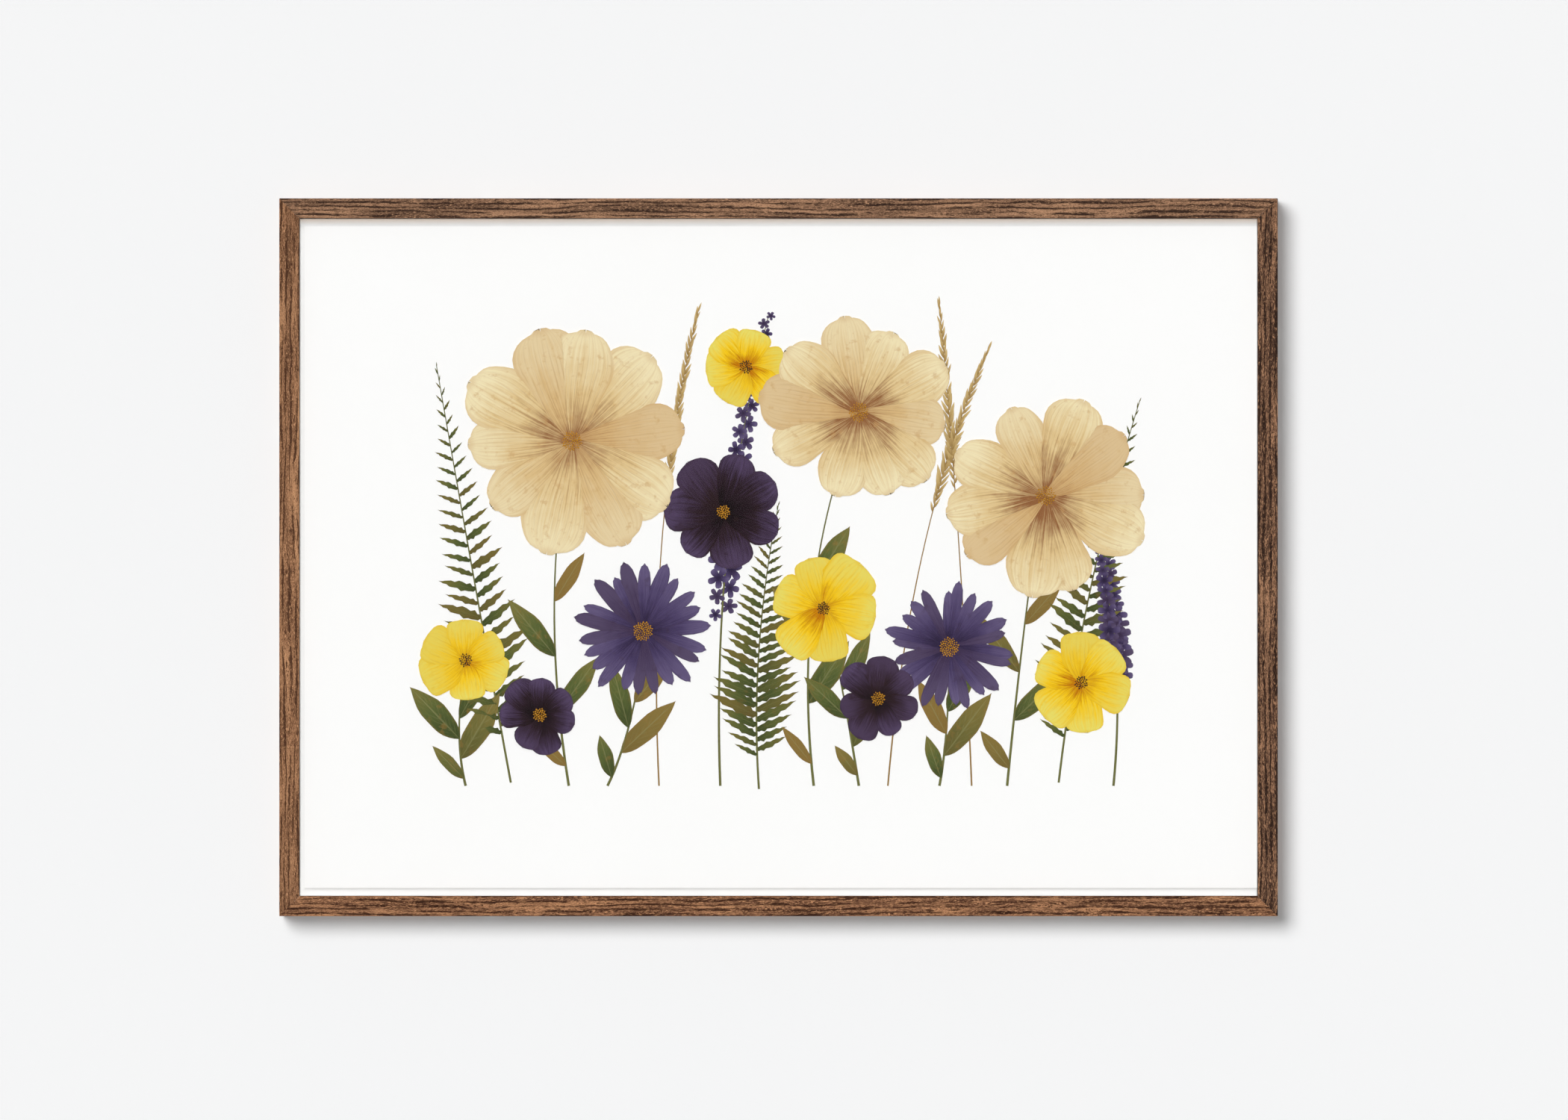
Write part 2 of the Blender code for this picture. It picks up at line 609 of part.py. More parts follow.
clear_scene()
PARTS = make_collection("floating_frame")
CUTTERS = make_collection("floating_frame_cutters", helpers=True)
ORIGIN = bpy.data.objects.new("floating_frame_origin", None)
PARTS.objects.link(ORIGIN)
build()
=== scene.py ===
"""Looks of a float-mounted picture frame: oak rails, pane, boards, hardware and a pressed meadow on its sheet.

Metres, +Z up. The wall is the plane y = 0 and the front faces -Y.
"""

import json
import logging
import math
import random
from collections.abc import Sequence
from dataclasses import dataclass, field
from enum import Enum

import bmesh
import bpy
from mathutils import Matrix, Vector


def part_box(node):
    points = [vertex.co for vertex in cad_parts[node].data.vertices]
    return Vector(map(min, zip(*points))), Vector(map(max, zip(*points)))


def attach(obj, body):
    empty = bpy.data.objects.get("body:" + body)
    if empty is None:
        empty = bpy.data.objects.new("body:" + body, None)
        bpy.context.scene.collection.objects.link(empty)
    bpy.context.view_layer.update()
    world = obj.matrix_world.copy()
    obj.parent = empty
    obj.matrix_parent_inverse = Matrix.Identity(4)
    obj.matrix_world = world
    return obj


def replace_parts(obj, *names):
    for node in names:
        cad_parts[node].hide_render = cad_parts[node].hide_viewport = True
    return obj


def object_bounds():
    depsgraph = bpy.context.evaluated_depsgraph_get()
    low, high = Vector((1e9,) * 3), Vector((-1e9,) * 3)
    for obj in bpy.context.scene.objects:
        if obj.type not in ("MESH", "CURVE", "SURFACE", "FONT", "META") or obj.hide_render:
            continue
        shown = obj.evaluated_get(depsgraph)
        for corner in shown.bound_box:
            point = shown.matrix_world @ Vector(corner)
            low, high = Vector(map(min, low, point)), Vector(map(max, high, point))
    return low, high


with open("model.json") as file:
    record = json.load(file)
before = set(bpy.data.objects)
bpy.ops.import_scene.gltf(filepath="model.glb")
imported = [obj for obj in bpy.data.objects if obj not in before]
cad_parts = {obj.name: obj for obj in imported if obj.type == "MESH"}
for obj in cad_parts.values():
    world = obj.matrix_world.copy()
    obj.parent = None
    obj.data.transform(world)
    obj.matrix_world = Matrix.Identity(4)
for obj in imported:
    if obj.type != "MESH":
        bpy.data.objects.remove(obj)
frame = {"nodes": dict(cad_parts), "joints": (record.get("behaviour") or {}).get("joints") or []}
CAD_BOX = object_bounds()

LOG = logging.getLogger("floating_frame")
MM = 0.001
ROOT = "frame"

Socket = bpy.types.NodeSocket
Rgb = tuple[int, int, int]
Plan = tuple[float, float]


def linear(colour: Rgb) -> tuple[float, float, float, float]:
    """Linear colour, with full alpha, of a screen colour given from 0 to 255."""
    levels = [level / 255 for level in colour]
    return (*(v / 12.92 if v <= 0.04045 else ((v + 0.055) / 1.055) ** 2.4 for v in levels), 1.0)


class Graph:
    """Adds nodes to a tree and joins them."""

    def __init__(self, tree: bpy.types.NodeTree) -> None:
        """Starts from a tree, which keeps the nodes that it has."""
        self.tree = tree

    def node(self, kind: str, inputs: dict | None = None, **settings: object) -> bpy.types.Node:
        """Adds a node.

        Args:
            kind: the type of node.
            inputs: by name or number, the socket that feeds an input or its value.
            settings: the node's own properties.

        Returns:
            The new node.
        """
        node = self.tree.nodes.new(kind)
        for name, value in settings.items():
            setattr(node, name, value)
        for key, value in (inputs or {}).items():
            if isinstance(value, Socket):
                self.tree.links.new(value, node.inputs[key])
            else:
                node.inputs[key].default_value = value
        return node

    def math(self, operation: str, *values: Socket | float, clamp: bool = False) -> Socket:
        """A number worked out from one to three others."""
        inputs = dict(enumerate(values))
        return self.node("ShaderNodeMath", inputs, operation=operation, use_clamp=clamp).outputs[0]

    def vector(self, operation: str, *values: Socket | Sequence[float]) -> Socket:
        """A vector worked out from others."""
        return self.node("ShaderNodeVectorMath", dict(enumerate(values)), operation=operation).outputs[0]

    def combine(self, x: Socket | float, y: Socket | float, z: Socket | float) -> Socket:
        """A vector from its three parts."""
        return self.node("ShaderNodeCombineXYZ", {0: x, 1: y, 2: z}).outputs[0]

    def split(self, vector: Socket) -> tuple[Socket, Socket, Socket]:
        """The three parts of a vector."""
        return tuple(self.node("ShaderNodeSeparateXYZ", {0: vector}).outputs)

    def remap(self, value: Socket, low: float, high: float, start: float = 0.0, end: float = 1.0) -> Socket:
        """A number carried smoothly from one range to another, and held at its ends."""
        inputs = {"Value": value, "From Min": low, "From Max": high, "To Min": start, "To Max": end}
        return self.node("ShaderNodeMapRange", inputs, interpolation_type="SMOOTHSTEP").outputs[0]

    def noise(self, vector: Socket, scale: Sequence[float], detail: float = 2.0, rough: float = 0.5) -> Socket:
        """Cloudy noise about 0.5, with its own scale along each axis."""
        inputs = {"Vector": self.vector("MULTIPLY", vector, scale), "Scale": 1.0, "Detail": detail}
        return self.node("ShaderNodeTexNoise", {**inputs, "Roughness": rough}).outputs[0]

    def mix(self, factor: Socket | float, first: Socket | Sequence[float], second: Socket | Sequence[float],
            blend: str = "MIX") -> Socket:
        """A colour between two others."""
        inputs = {0: factor, 6: first, 7: second}
        return self.node("ShaderNodeMix", inputs, data_type="RGBA", blend_type=blend).outputs[2]

    def ramp(self, factor: Socket, stops: Sequence[tuple[float, Rgb]]) -> Socket:
        """A colour picked along a row of colours."""
        node = self.node("ShaderNodeValToRGB", {0: factor})
        elements = node.color_ramp.elements
        while len(elements) < len(stops):
            elements.new(1.0)
        for element, (place, colour) in zip(elements, stops):
            element.position = place
            element.color = linear(colour)
        return node.outputs[0]


class Surface(Graph):
    """The node tree of a new material, with its shader."""

    def __init__(self, name: str, roughness: float, metallic: float = 0.0) -> None:
        """Makes the material with its even values already on the shader."""
        self.material = bpy.data.materials.new(name)
        self.material.use_nodes = True
        super().__init__(self.material.node_tree)
        self.shader = self.tree.nodes["Principled BSDF"]
        self.shader.inputs["Roughness"].default_value = roughness
        self.shader.inputs["Metallic"].default_value = metallic
        self.place = self.node("ShaderNodeTexCoord").outputs["Object"]

    def wear(self, colour: Socket | None = None, roughness: Socket | None = None,
             height: Socket | None = None, depth: float = 0.0, strength: float = 0.5) -> bpy.types.Material:
        """Joins patterns to the shader.

        Args:
            colour: base colour.
            roughness: roughness.
            height: relief, from 0 to 1.
            depth: height of the relief, in metres.
            strength: strength of the relief.

        Returns:
            The finished material.
        """
        if height is not None:
            bump = self.node("ShaderNodeBump", {"Height": height, "Distance": depth, "Strength": strength})
            self.tree.links.new(bump.outputs[0], self.shader.inputs["Normal"])
        for name, socket in (("Base Color", colour), ("Roughness", roughness)):
            if socket is not None:
                self.tree.links.new(socket, self.shader.inputs[name])
        return self.material


@dataclass(frozen=True)
class StainedOak:
    """Oak under a dark stain, which gathers in the pores of each year's first growth, with painted shade along its
    sight edge.
    """

    name: str
    upright: bool
    sight_edge: float
    shift: tuple[float, float, float]
    dark: Rgb
    middle: Rgb
    light: Rgb
    ring_spacing: float = 3.0
    ring_lean: float = 0.5
    waver: float = 9.0
    bands: float = 0.5
    # strength of the painted shade that darkens the wood next to the inner sight edge
    painted_edge_shade: float = 0.55

    def material(self) -> bpy.types.Material:
        """The wood of one rail, in millimetres along, through and across its grain."""
        wood = Surface(self.name, 0.6)
        wood.shader.inputs["Specular IOR Level"].default_value = 0.08
        turn = (0.0, math.pi / 2 if self.upright else 0.0, 0.0)
        inputs = {"Vector": wood.place, "Rotation": turn, "Scale": (1 / MM,) * 3}
        raw = wood.node("ShaderNodeMapping", inputs).outputs[0]
        grain = wood.vector("ADD", raw, self.shift)
        along, depth, across = wood.split(grain)
        slow = wood.noise(grain, (0.009, 0.06, 0.06), 2.0)
        quick = wood.noise(grain, (0.05, 0.30, 0.30), 2.0)
        bend = wood.math("MULTIPLY_ADD", slow, self.waver, wood.math("MULTIPLY", quick, 2.4))
        level = wood.math("ADD", across, bend)
        flow = wood.combine(along, depth, level)
        leaning = wood.math("MULTIPLY_ADD", depth, self.ring_lean, level)
        ring = wood.math("FRACT", wood.math("DIVIDE", leaning, self.ring_spacing))
        broken = wood.remap(wood.noise(flow, (0.035, 0.5, 0.5), 2.0), 0.36, 0.60)
        rise = wood.math("MULTIPLY", wood.remap(ring, 0.0, 0.14), broken)
        early = wood.math("MULTIPLY", rise, wood.remap(ring, 0.22, 0.62, 1.0, 0.0))
        long_pores = wood.math("MULTIPLY_ADD", early, 0.17, wood.noise(flow, (0.16, 2.2, 2.2), 3.0, 0.66))
        short_pores = wood.math("MULTIPLY_ADD", early, 0.11, wood.noise(flow, (0.55, 3.2, 3.2), 2.0, 0.6))
        pore = wood.math("MAXIMUM", wood.remap(long_pores, 0.56, 0.61), wood.remap(short_pores, 0.58, 0.63))
        fine = wood.noise(flow, (1.1, 4.4, 4.4), 2.0, 0.6)
        fleck = wood.remap(wood.noise(flow, (0.45, 3.4, 3.4), 1.0), 0.56, 0.61)
        cloud = wood.noise(flow, (0.02, 0.17, 0.17), 2.0)
        tone = wood.math("MULTIPLY_ADD", early, -0.30 * self.bands, wood.math("MULTIPLY_ADD", fine, 1.0, 0.02))
        tone = wood.math("MULTIPLY_ADD", wood.math("SUBTRACT", cloud, 0.5), 1.1, tone)
        body = wood.ramp(tone, ((0.18, self.dark), (0.50, self.middle), (0.80, self.light)))
        lit = wood.mix(wood.math("MULTIPLY", fleck, 0.85), body, linear(self.light))
        stained = wood.mix(wood.math("MULTIPLY", pore, 0.90), lit, linear(self.dark))
        # Painted shade: the wood is darkened over the last 0.9 mm towards the inner sight edge.
        edge = wood.math("ABSOLUTE", wood.split(raw)[2])
        shade = wood.remap(edge, self.sight_edge, self.sight_edge + 0.9, self.painted_edge_shade, 0.0)
        colour = wood.mix(shade, stained, linear(self.dark))
        height = wood.math("MULTIPLY_ADD", pore, -0.8, wood.math("MULTIPLY_ADD", fine, 0.3, 0.75))
        roughness = wood.remap(pore, 0.0, 1.0, 0.52, 0.74)
        return wood.wear(colour, roughness, height, 0.12 * MM, 0.5)


@dataclass(frozen=True)
class BoardFinish:
    """Pressed fibre: paper, card, foam board, hardboard, tape or rubber."""

    name: str
    colour: Rgb
    speck: Rgb
    roughness: float
    fibre: float
    specks: float
    relief: float
    # height from which the card is darkened and warmed upwards, as painted shade under the top rail
    painted_shade_from: float = 0.0
    # colour of that painted warm shade on the card; on hardboard, the colour of its fibres
    tone: Rgb = (250, 230, 212)
    mesh: float = 0.0

    def material(self) -> bpy.types.Material:
        """Cloudy tone, fibres in all directions, a few specks and, on the card, a painted warm shade towards its top
        edge.
        """
        board = Surface(self.name, self.roughness)
        tooth = board.noise(board.place, (self.fibre,) * 3, 4.0, 0.65)
        strand = board.noise(board.place, (self.fibre * 0.12, self.fibre * 0.5, self.fibre), 3.0, 0.6)
        cloud = board.noise(board.place, (9.0,) * 3, 2.0)
        speck = board.remap(board.math("MULTIPLY", tooth, strand), 0.30, 0.42, 0.0, self.specks)
        shade = board.remap(cloud, 0.3, 0.7, 0.0, self.specks * 0.25)
        pale = board.mix(shade, linear(self.colour), linear(self.speck))
        colour = board.mix(speck, pale, linear(self.speck))
        # Painted shade: over 5 mm near its top edge the card goes towards the tone colour, standing in for the shade
        # and warm bounce light under the top rail.
        if self.painted_shade_from:
            height = board.split(board.place)[2]
            painted_shade_share = board.remap(height, self.painted_shade_from, self.painted_shade_from + 5.0 * MM, 0.0, 0.9)
            colour = board.mix(painted_shade_share, colour, linear(self.tone))
        if self.mesh:
            waves = [board.math("SINE", board.math("MULTIPLY", axis, math.pi / self.mesh))
                     for axis in board.split(board.place)[::2]]
            knots = board.math("ABSOLUTE", board.math("MULTIPLY", *waves))
            fibres = board.noise(board.place, (620.0, 700.0, 240.0), 3.0, 0.7)
            colour = board.mix(board.remap(fibres, 0.50, 0.68, 0.0, 0.55), colour, linear(self.tone))
            colour = board.mix(board.remap(knots, 0.0, 0.6, 0.30, 0.0), colour, linear(self.speck))
            tooth = board.math("MULTIPLY_ADD", knots, 0.6, tooth)
        rough = board.remap(tooth, 0.3, 0.7, self.roughness - 0.08, self.roughness + 0.08)
        return board.wear(colour, rough, tooth, self.relief, 0.4)


@dataclass(frozen=True)
class MetalFinish:
    """Plated steel with blotches and fine scratches."""

    name: str
    colour: Rgb
    stain: Rgb
    roughness: float

    def material(self) -> bpy.types.Material:
        """Blotched plating under scratches that run mostly one way."""
        metal = Surface(self.name, self.roughness, 1.0)
        scratch = metal.noise(metal.place, (2600.0, 900.0, 260.0), 3.0, 0.7)
        blotch = metal.noise(metal.place, (320.0,) * 3, 3.0, 0.6)
        colour = metal.mix(metal.remap(blotch, 0.42, 0.70), linear(self.colour), linear(self.stain))
        rough = metal.remap(metal.math("MULTIPLY_ADD", scratch, 0.6, metal.math("MULTIPLY", blotch, 0.4)),
                            0.3, 0.7, self.roughness - 0.1, self.roughness + 0.14)
        return metal.wear(colour, rough, scratch, 0.02 * MM, 0.25)


def acrylic() -> bpy.types.Material:
    """Clear, low-reflection sheet: it shows what is behind it, with a little gloss at a slant."""
    pane = Surface("clear_acrylic", 0.03)
    dust = pane.remap(pane.noise(pane.place, (140.0,) * 3, 4.0, 0.7), 0.35, 0.8, 0.02, 0.07)
    gloss = pane.node("ShaderNodeBsdfGlossy", {"Color": linear((252, 253, 253)), "Roughness": dust})
    clear = pane.node("ShaderNodeBsdfTransparent", {"Color": linear((255, 255, 255))})
    slant = pane.node("ShaderNodeFresnel", {"IOR": 1.18}).outputs[0]
    inside = pane.node("ShaderNodeNewGeometry").outputs["Backfacing"]
    share = pane.math("MULTIPLY", slant, pane.math("SUBTRACT", 1.0, inside))
    both = pane.node("ShaderNodeMixShader", {0: share, 1: clear.outputs[0], 2: gloss.outputs[0]})
    output = pane.tree.nodes["Material Output"]
    pane.tree.links.new(both.outputs[0], output.inputs["Surface"])
    pane.tree.nodes.remove(pane.shader)
    return pane.material


def stand(name: str, mesh: bpy.types.Mesh) -> bpy.types.Object:
    """Puts a finished mesh, already in its place, into the scene."""
    piece = bpy.data.objects.new(name, mesh)
    bpy.context.scene.collection.objects.link(piece)
    return piece


def dress(piece: bpy.types.Object, *finishes: bpy.types.Material) -> None:
    """Gives an object its materials, in the order of its slots."""
    for index, finish in enumerate(finishes):
        if index < len(piece.material_slots):
            piece.material_slots[index].material = finish
        else:
            piece.data.materials.append(finish)


def smooth(mesh: bpy.types.Mesh, angle: float = math.radians(35)) -> bpy.types.Mesh:
    """Smooth shading on round faces, with true edges left sharp."""
    mesh.shade_smooth()
    mesh.set_sharp_from_angle(angle=angle)
    return mesh


def mesh_of(name: str, form: bmesh.types.BMesh) -> bpy.types.Mesh:
    """A mesh from an edited form, which is then freed."""
    bmesh.ops.recalc_face_normals(form, faces=form.faces)
    mesh = bpy.data.meshes.new(name)
    form.to_mesh(mesh)
    form.free()
    return mesh


def report(piece: bpy.types.Object, *nodes: str) -> None:
    """Notes a finished piece in the log."""
    LOG.info("%s: %d faces, for %s", piece.name, len(piece.data.polygons), ", ".join(nodes) or "itself")


class NodeWorks:
    """A Geometry Nodes tree with named inputs, which makes plain meshes."""

    def __init__(self, name: str, inputs: dict[str, str]) -> None:
        """Starts an empty tree.

        Args:
            name: name of the tree.
            inputs: kind of socket for each named input.
        """
        self.tree = bpy.data.node_groups.new(name, "GeometryNodeTree")
        self.graph = Graph(self.tree)
        self.keys = {}
        face = self.tree.interface
        face.new_socket("Geometry", in_out="INPUT", socket_type="NodeSocketGeometry")
        for label, kind in inputs.items():
            socket = face.new_socket(label, in_out="INPUT", socket_type=f"NodeSocket{kind}")
            self.keys[label] = socket.identifier
        face.new_socket("Geometry", in_out="OUTPUT", socket_type="NodeSocketGeometry")
        self.given = self.graph.node("NodeGroupInput").outputs

    def close(self, *parts: tuple[Socket, Socket]) -> None:
        """Realizes each part, sets its material and joins all parts into the tree's result.

        Args:
            parts: pairs of geometry and material.
        """
        joined = self.graph.node("GeometryNodeJoinGeometry")
        for geometry, material in parts:
            real = self.graph.node("GeometryNodeRealizeInstances", {0: geometry}).outputs[0]
            worn = self.graph.node("GeometryNodeSetMaterial", {"Geometry": real, "Material": material})
            self.tree.links.new(worn.outputs[0], joined.inputs[0])
        self.graph.node("NodeGroupOutput", {0: joined.outputs[0]})

    def make(self, name: str, carrier_mesh: bpy.types.Mesh, **values: object) -> bpy.types.Object:
        """Runs the tree on a mesh and keeps the result as a plain piece.

        Args:
            name: name of the piece.
            carrier_mesh: points or a line that the tree starts from.
            values: the tree's inputs by name, with spaces as underscores.

        Returns:
            The piece, at the origin.
        """
        carrier = stand(f"{name}_carrier", carrier_mesh)
        modifier = carrier.modifiers.new("nodes", "NODES")
        modifier.node_group = self.tree
        for label, value in values.items():
            modifier[self.keys[label.replace("_", " ")]] = value
        graph = bpy.context.evaluated_depsgraph_get()
        mesh = bpy.data.meshes.new_from_object(carrier.evaluated_get(graph))
        mesh.name = name
        carrier.modifiers.remove(modifier)
        bpy.data.objects.remove(carrier)
        return stand(name, mesh)


def points_mesh(name: str, places: Sequence[Vector], turns: Sequence[Sequence[float]]) -> bpy.types.Mesh:
    """Loose points, each with its turn as three angles."""
    mesh = bpy.data.meshes.new(name)
    mesh.from_pydata([tuple(place) for place in places], [], [])
    turn = mesh.attributes.new("turn", "FLOAT_VECTOR", "POINT")
    for item, angles in zip(turn.data, turns):
        item.vector = angles
    return mesh


def fixing_works() -> NodeWorks:
    """The tree that sets one fixing on each point, turned as the point says."""
    works = NodeWorks("fixings", {"Fixing": "Object", "Finish": "Material"})
    graph = works.graph
    turn = graph.node("GeometryNodeInputNamedAttribute", {"Name": "turn"}, data_type="FLOAT_VECTOR")
    rotation = graph.node("FunctionNodeEulerToRotation", {0: turn.outputs[0]}).outputs[0]
    fixing = graph.node("GeometryNodeObjectInfo", {"Object": works.given["Fixing"]}).outputs["Geometry"]
    inputs = {"Points": works.given["Geometry"], "Instance": fixing, "Rotation": rotation}
    works.close((graph.node("GeometryNodeInstanceOnPoints", inputs).outputs[0], works.given["Finish"]))
    return works


def turned_mesh(name: str, profile: Sequence[Plan], sides: int, pitch: float = 0.0, ridge: float = 0.0,
                thread: tuple[float, float] = (0.0, 0.0)) -> bpy.types.Mesh:
    """A closed shape turned about Z, with a screw thread over part of its length.

    Args:
        name: name of the mesh.
        profile: radius and height of each ring, from the top pole to the bottom pole.
        sides: points in a ring.
        pitch: height of one turn of the thread.
        ridge: height of the thread.
        thread: lowest and highest place that has thread.

    Returns:
        The mesh.
    """
    form = bmesh.new()
    rings = []
    for radius, height in profile[1:-1]:
        ring = []
        for side in range(sides):
            angle = 2 * math.pi * side / sides
            reach = radius
            if thread[0] < height < thread[1]:
                phase = (height / pitch - side / sides) % 1.0
                reach += ridge * max(0.0, 1.0 - abs(phase - 0.5) * 4)
            ring.append(form.verts.new((reach * math.cos(angle), reach * math.sin(angle), height)))
        rings.append(ring)
    for upper, lower in zip(rings, rings[1:]):
        for side in range(sides):
            after = (side + 1) % sides
            form.faces.new((upper[side], lower[side], lower[after], upper[after]))
    for pole, ring in ((profile[0], rings[0]), (profile[-1], rings[-1])):
        tip = form.verts.new((0.0, 0.0, pole[1]))
        for side in range(sides):
            form.faces.new((tip, ring[side], ring[(side + 1) % sides]))
    return smooth(mesh_of(name, form))


@dataclass
class Screws:
    """Pan-head screws with a cross recess, through the turn buttons and the straps."""

    head_radius: float = 2.75 * MM
    head_height: float = 1.6 * MM
    rim_height: float = 0.7 * MM
    shank_radius: float = 0.85 * MM
    thread_height: float = 0.33 * MM
    thread_pitch: float = 1.0 * MM
    length: float = 9.0 * MM
    point: float = 2.5 * MM
    recess_reach: float = 1.55 * MM
    recess_width: float = 0.62 * MM
    recess_depth: float = 0.95 * MM
    spin_step: float = math.radians(37)

    def profile(self) -> list[Plan]:
        """Radius and height down the screw, in steps fine enough for its thread."""
        crown = self.head_height - self.rim_height
        dome = [math.pi / 2 * step / 6 for step in range(7)]
        rings = [(self.head_radius * math.sin(a), self.rim_height + crown * math.cos(a)) for a in dome]
        rings += [(self.head_radius, 0.12 * MM), (self.head_radius - 0.12 * MM, 0.0), (self.shank_radius, 0.0)]
        steps = round(self.length / self.thread_pitch * 6)
        for step in range(1, steps):
            height = -self.length * step / steps
            taper = min(1.0, (height + self.length) / self.point)
            rings.append((self.shank_radius * taper, height))
        return [*rings, (0.0, -self.length)]

    def template(self) -> bpy.types.Object:
        """One screw on Z, its head's underside on the XY plane."""
        thread = (-self.length + self.point * 0.3, -0.8 * MM)
        mesh = turned_mesh("screw", self.profile(), 18, self.thread_pitch, self.thread_height, thread)
        screw = stand("screw", mesh)
        for turn in (0.0, math.pi / 2):
            form = bmesh.new()
            bmesh.ops.create_cube(form, size=2.0)
            for vertex in form.verts:
                deep = vertex.co.z < 0
                narrow = 0.45 if deep else 1.0
                vertex.co.x *= self.recess_reach * narrow
                vertex.co.y *= self.recess_width / 2 * (0.7 if deep else 1.0)
                vertex.co.z = self.head_height + (-self.recess_depth if deep else 0.1 * MM)
            bmesh.ops.rotate(form, matrix=Matrix.Rotation(turn, 3, "Z"), verts=form.verts)
            slot = stand("recess", mesh_of("recess", form))
            cut = screw.modifiers.new("recess", "BOOLEAN")
            cut.object = slot
            graph = bpy.context.evaluated_depsgraph_get()
            cut_mesh = bpy.data.meshes.new_from_object(screw.evaluated_get(graph))
            screw.modifiers.remove(cut)
            bpy.data.objects.remove(slot)
            screw.data = smooth(cut_mesh)
        return screw

    def build(self, works: NodeWorks, finish: bpy.types.Material) -> None:
        """Sets all screws as one piece."""
        nodes = [name for name in frame["nodes"] if "_screw_" in name]
        boxes = [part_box(node) for node in nodes]
        seats = [Vector(((lo.x + hi.x) / 2, hi.y - self.head_height, (lo.z + hi.z) / 2)) for lo, hi in boxes]
        turns = [(-math.pi / 2, self.spin_step * index, 0.0) for index in range(len(nodes))]
        screw = self.template()
        piece = works.make("screws", points_mesh("screws", seats, turns), Fixing=screw, Finish=finish)
        bpy.data.objects.remove(screw)
        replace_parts(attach(piece, ROOT), *nodes)
        report(piece, *nodes)


@dataclass
class CornerNails:
    """V-shaped nails across the mitres, ground to an edge where they enter the wood."""

    thickness: float = 0.6 * MM
    edge_depth: float = 1.2 * MM
    edge_share: float = 0.35

    def template(self, leg: float, depth: float) -> bpy.types.Object:
        """One nail with its corner on the Z axis and its legs along -X and -Y, its head on the XY plane."""
        form = bmesh.new()
        rings = []
        levels = ((0.0, 0.8), (-0.1 * MM, 1.0), (self.edge_depth - depth, 1.0), (-depth, self.edge_share))
        for height, share in levels:
            trim = self.thickness * (1.0 - share) / 2
            near, far, inner = -trim, -leg + trim, trim - self.thickness
            plan = ((near, near), (far, near), (far, inner), (inner, inner), (inner, far), (near, far))
            rings.append([form.verts.new((x, y, height)) for x, y in plan])
        for upper, lower in zip(rings, rings[1:]):
            for index in range(len(upper)):
                after = (index + 1) % len(upper)
                form.faces.new((upper[index], lower[index], lower[after], upper[after]))
        form.faces.new(rings[0])
        form.faces.new(rings[-1])
        return stand("corner_nail", mesh_of("corner_nail", form))

    def build(self, works: NodeWorks, finish: bpy.types.Material) -> None:
        """Sets all nails as one piece."""
        nodes = [name for name in frame["nodes"] if name.startswith("corner_nail_")]
        places, turns = [], []
        for node in nodes:
            lo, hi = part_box(node)
            right, top = hi.x > 0, hi.z > 0
            places.append(Vector((hi.x if right else lo.x, hi.y, hi.z if top else lo.z)))
            quarters = (3 if right else 2) if top else (0 if right else 1)
            turns.append((-math.pi / 2, quarters * math.pi / 2, 0.0))
        nail = self.template(hi.x - lo.x, hi.y - lo.y)
        piece = works.make("corner_nails", points_mesh("nails", places, turns), Fixing=nail, Finish=finish)
        bpy.data.objects.remove(nail)
        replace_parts(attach(piece, ROOT), *nodes)
        report(piece, *nodes)


@dataclass
class WallBumpers:
    """Soft domes that keep the frame off the wall, on an adhesive disc."""

    lip: float = 0.35 * MM
    shoulder: float = 1.1 * MM

    def build(self, works: NodeWorks, finish: bpy.types.Material) -> None:
        """Sets all bumpers as one piece."""
        nodes = [name for name in frame["nodes"] if name.startswith("wall_bumper_")]
        boxes = [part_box(node) for node in nodes]
        feet = [Vector(((lo.x + hi.x) / 2, lo.y, (lo.z + hi.z) / 2)) for lo, hi in boxes]
        radius, height = (boxes[0][1].x - boxes[0][0].x) / 2, boxes[0][1].y - boxes[0][0].y
        crown = [math.pi / 2 * step / 7 for step in range(1, 8)]
        inner = radius - self.shoulder
        rings = [(inner + (self.shoulder - self.lip) * math.sin(a), height - self.shoulder * (1 - math.cos(a)))
                 for a in crown]
        foot = [(radius - self.lip, self.lip * 2), (radius - 0.1 * MM, self.lip), (radius, self.lip * 0.5),
                (radius - 0.1 * MM, 0.0), (0.0, 0.0)]
        mesh = turned_mesh("bumper", [(0.0, height), (inner, height), *rings, *foot], 28)
        bumper = stand("bumper", mesh)
        turns = [(-math.pi / 2, 0.0, 0.0)] * len(feet)
        piece = works.make("wall_bumpers", points_mesh("bumpers", feet, turns), Fixing=bumper, Finish=finish)
        bpy.data.objects.remove(bumper)
        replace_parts(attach(piece, ROOT), *nodes)
        report(piece, *nodes)


def eased_copy(node: str, width: float, cuts: Sequence[tuple[Vector, Vector]] = ()) -> bmesh.types.BMesh:
    """A copy of a node's shape with rounded edges.

    Args:
        node: name of the node.
        width: width of the rounding.
        cuts: planes, as a point and a normal, that add lines to the faces.

    Returns:
        The welded shape.
    """
    form = bmesh.new()
    form.from_mesh(frame["nodes"][node].data)
    bmesh.ops.remove_doubles(form, verts=form.verts, dist=0.001 * MM)
    bmesh.ops.dissolve_limit(form, angle_limit=math.radians(1), verts=form.verts, edges=form.edges)
    sharp = [edge for edge in form.edges if edge.is_manifold and edge.calc_face_angle() > math.radians(50)]
    bmesh.ops.bevel(form, geom=sharp, offset=width, segments=3, profile=0.5, affect="EDGES", clamp_overlap=True)
    for point, normal in cuts:
        geometry = [*form.verts, *form.edges, *form.faces]
        bmesh.ops.bisect_plane(form, geom=geometry, plane_co=point, plane_no=normal, dist=0.0001 * MM)
    return form


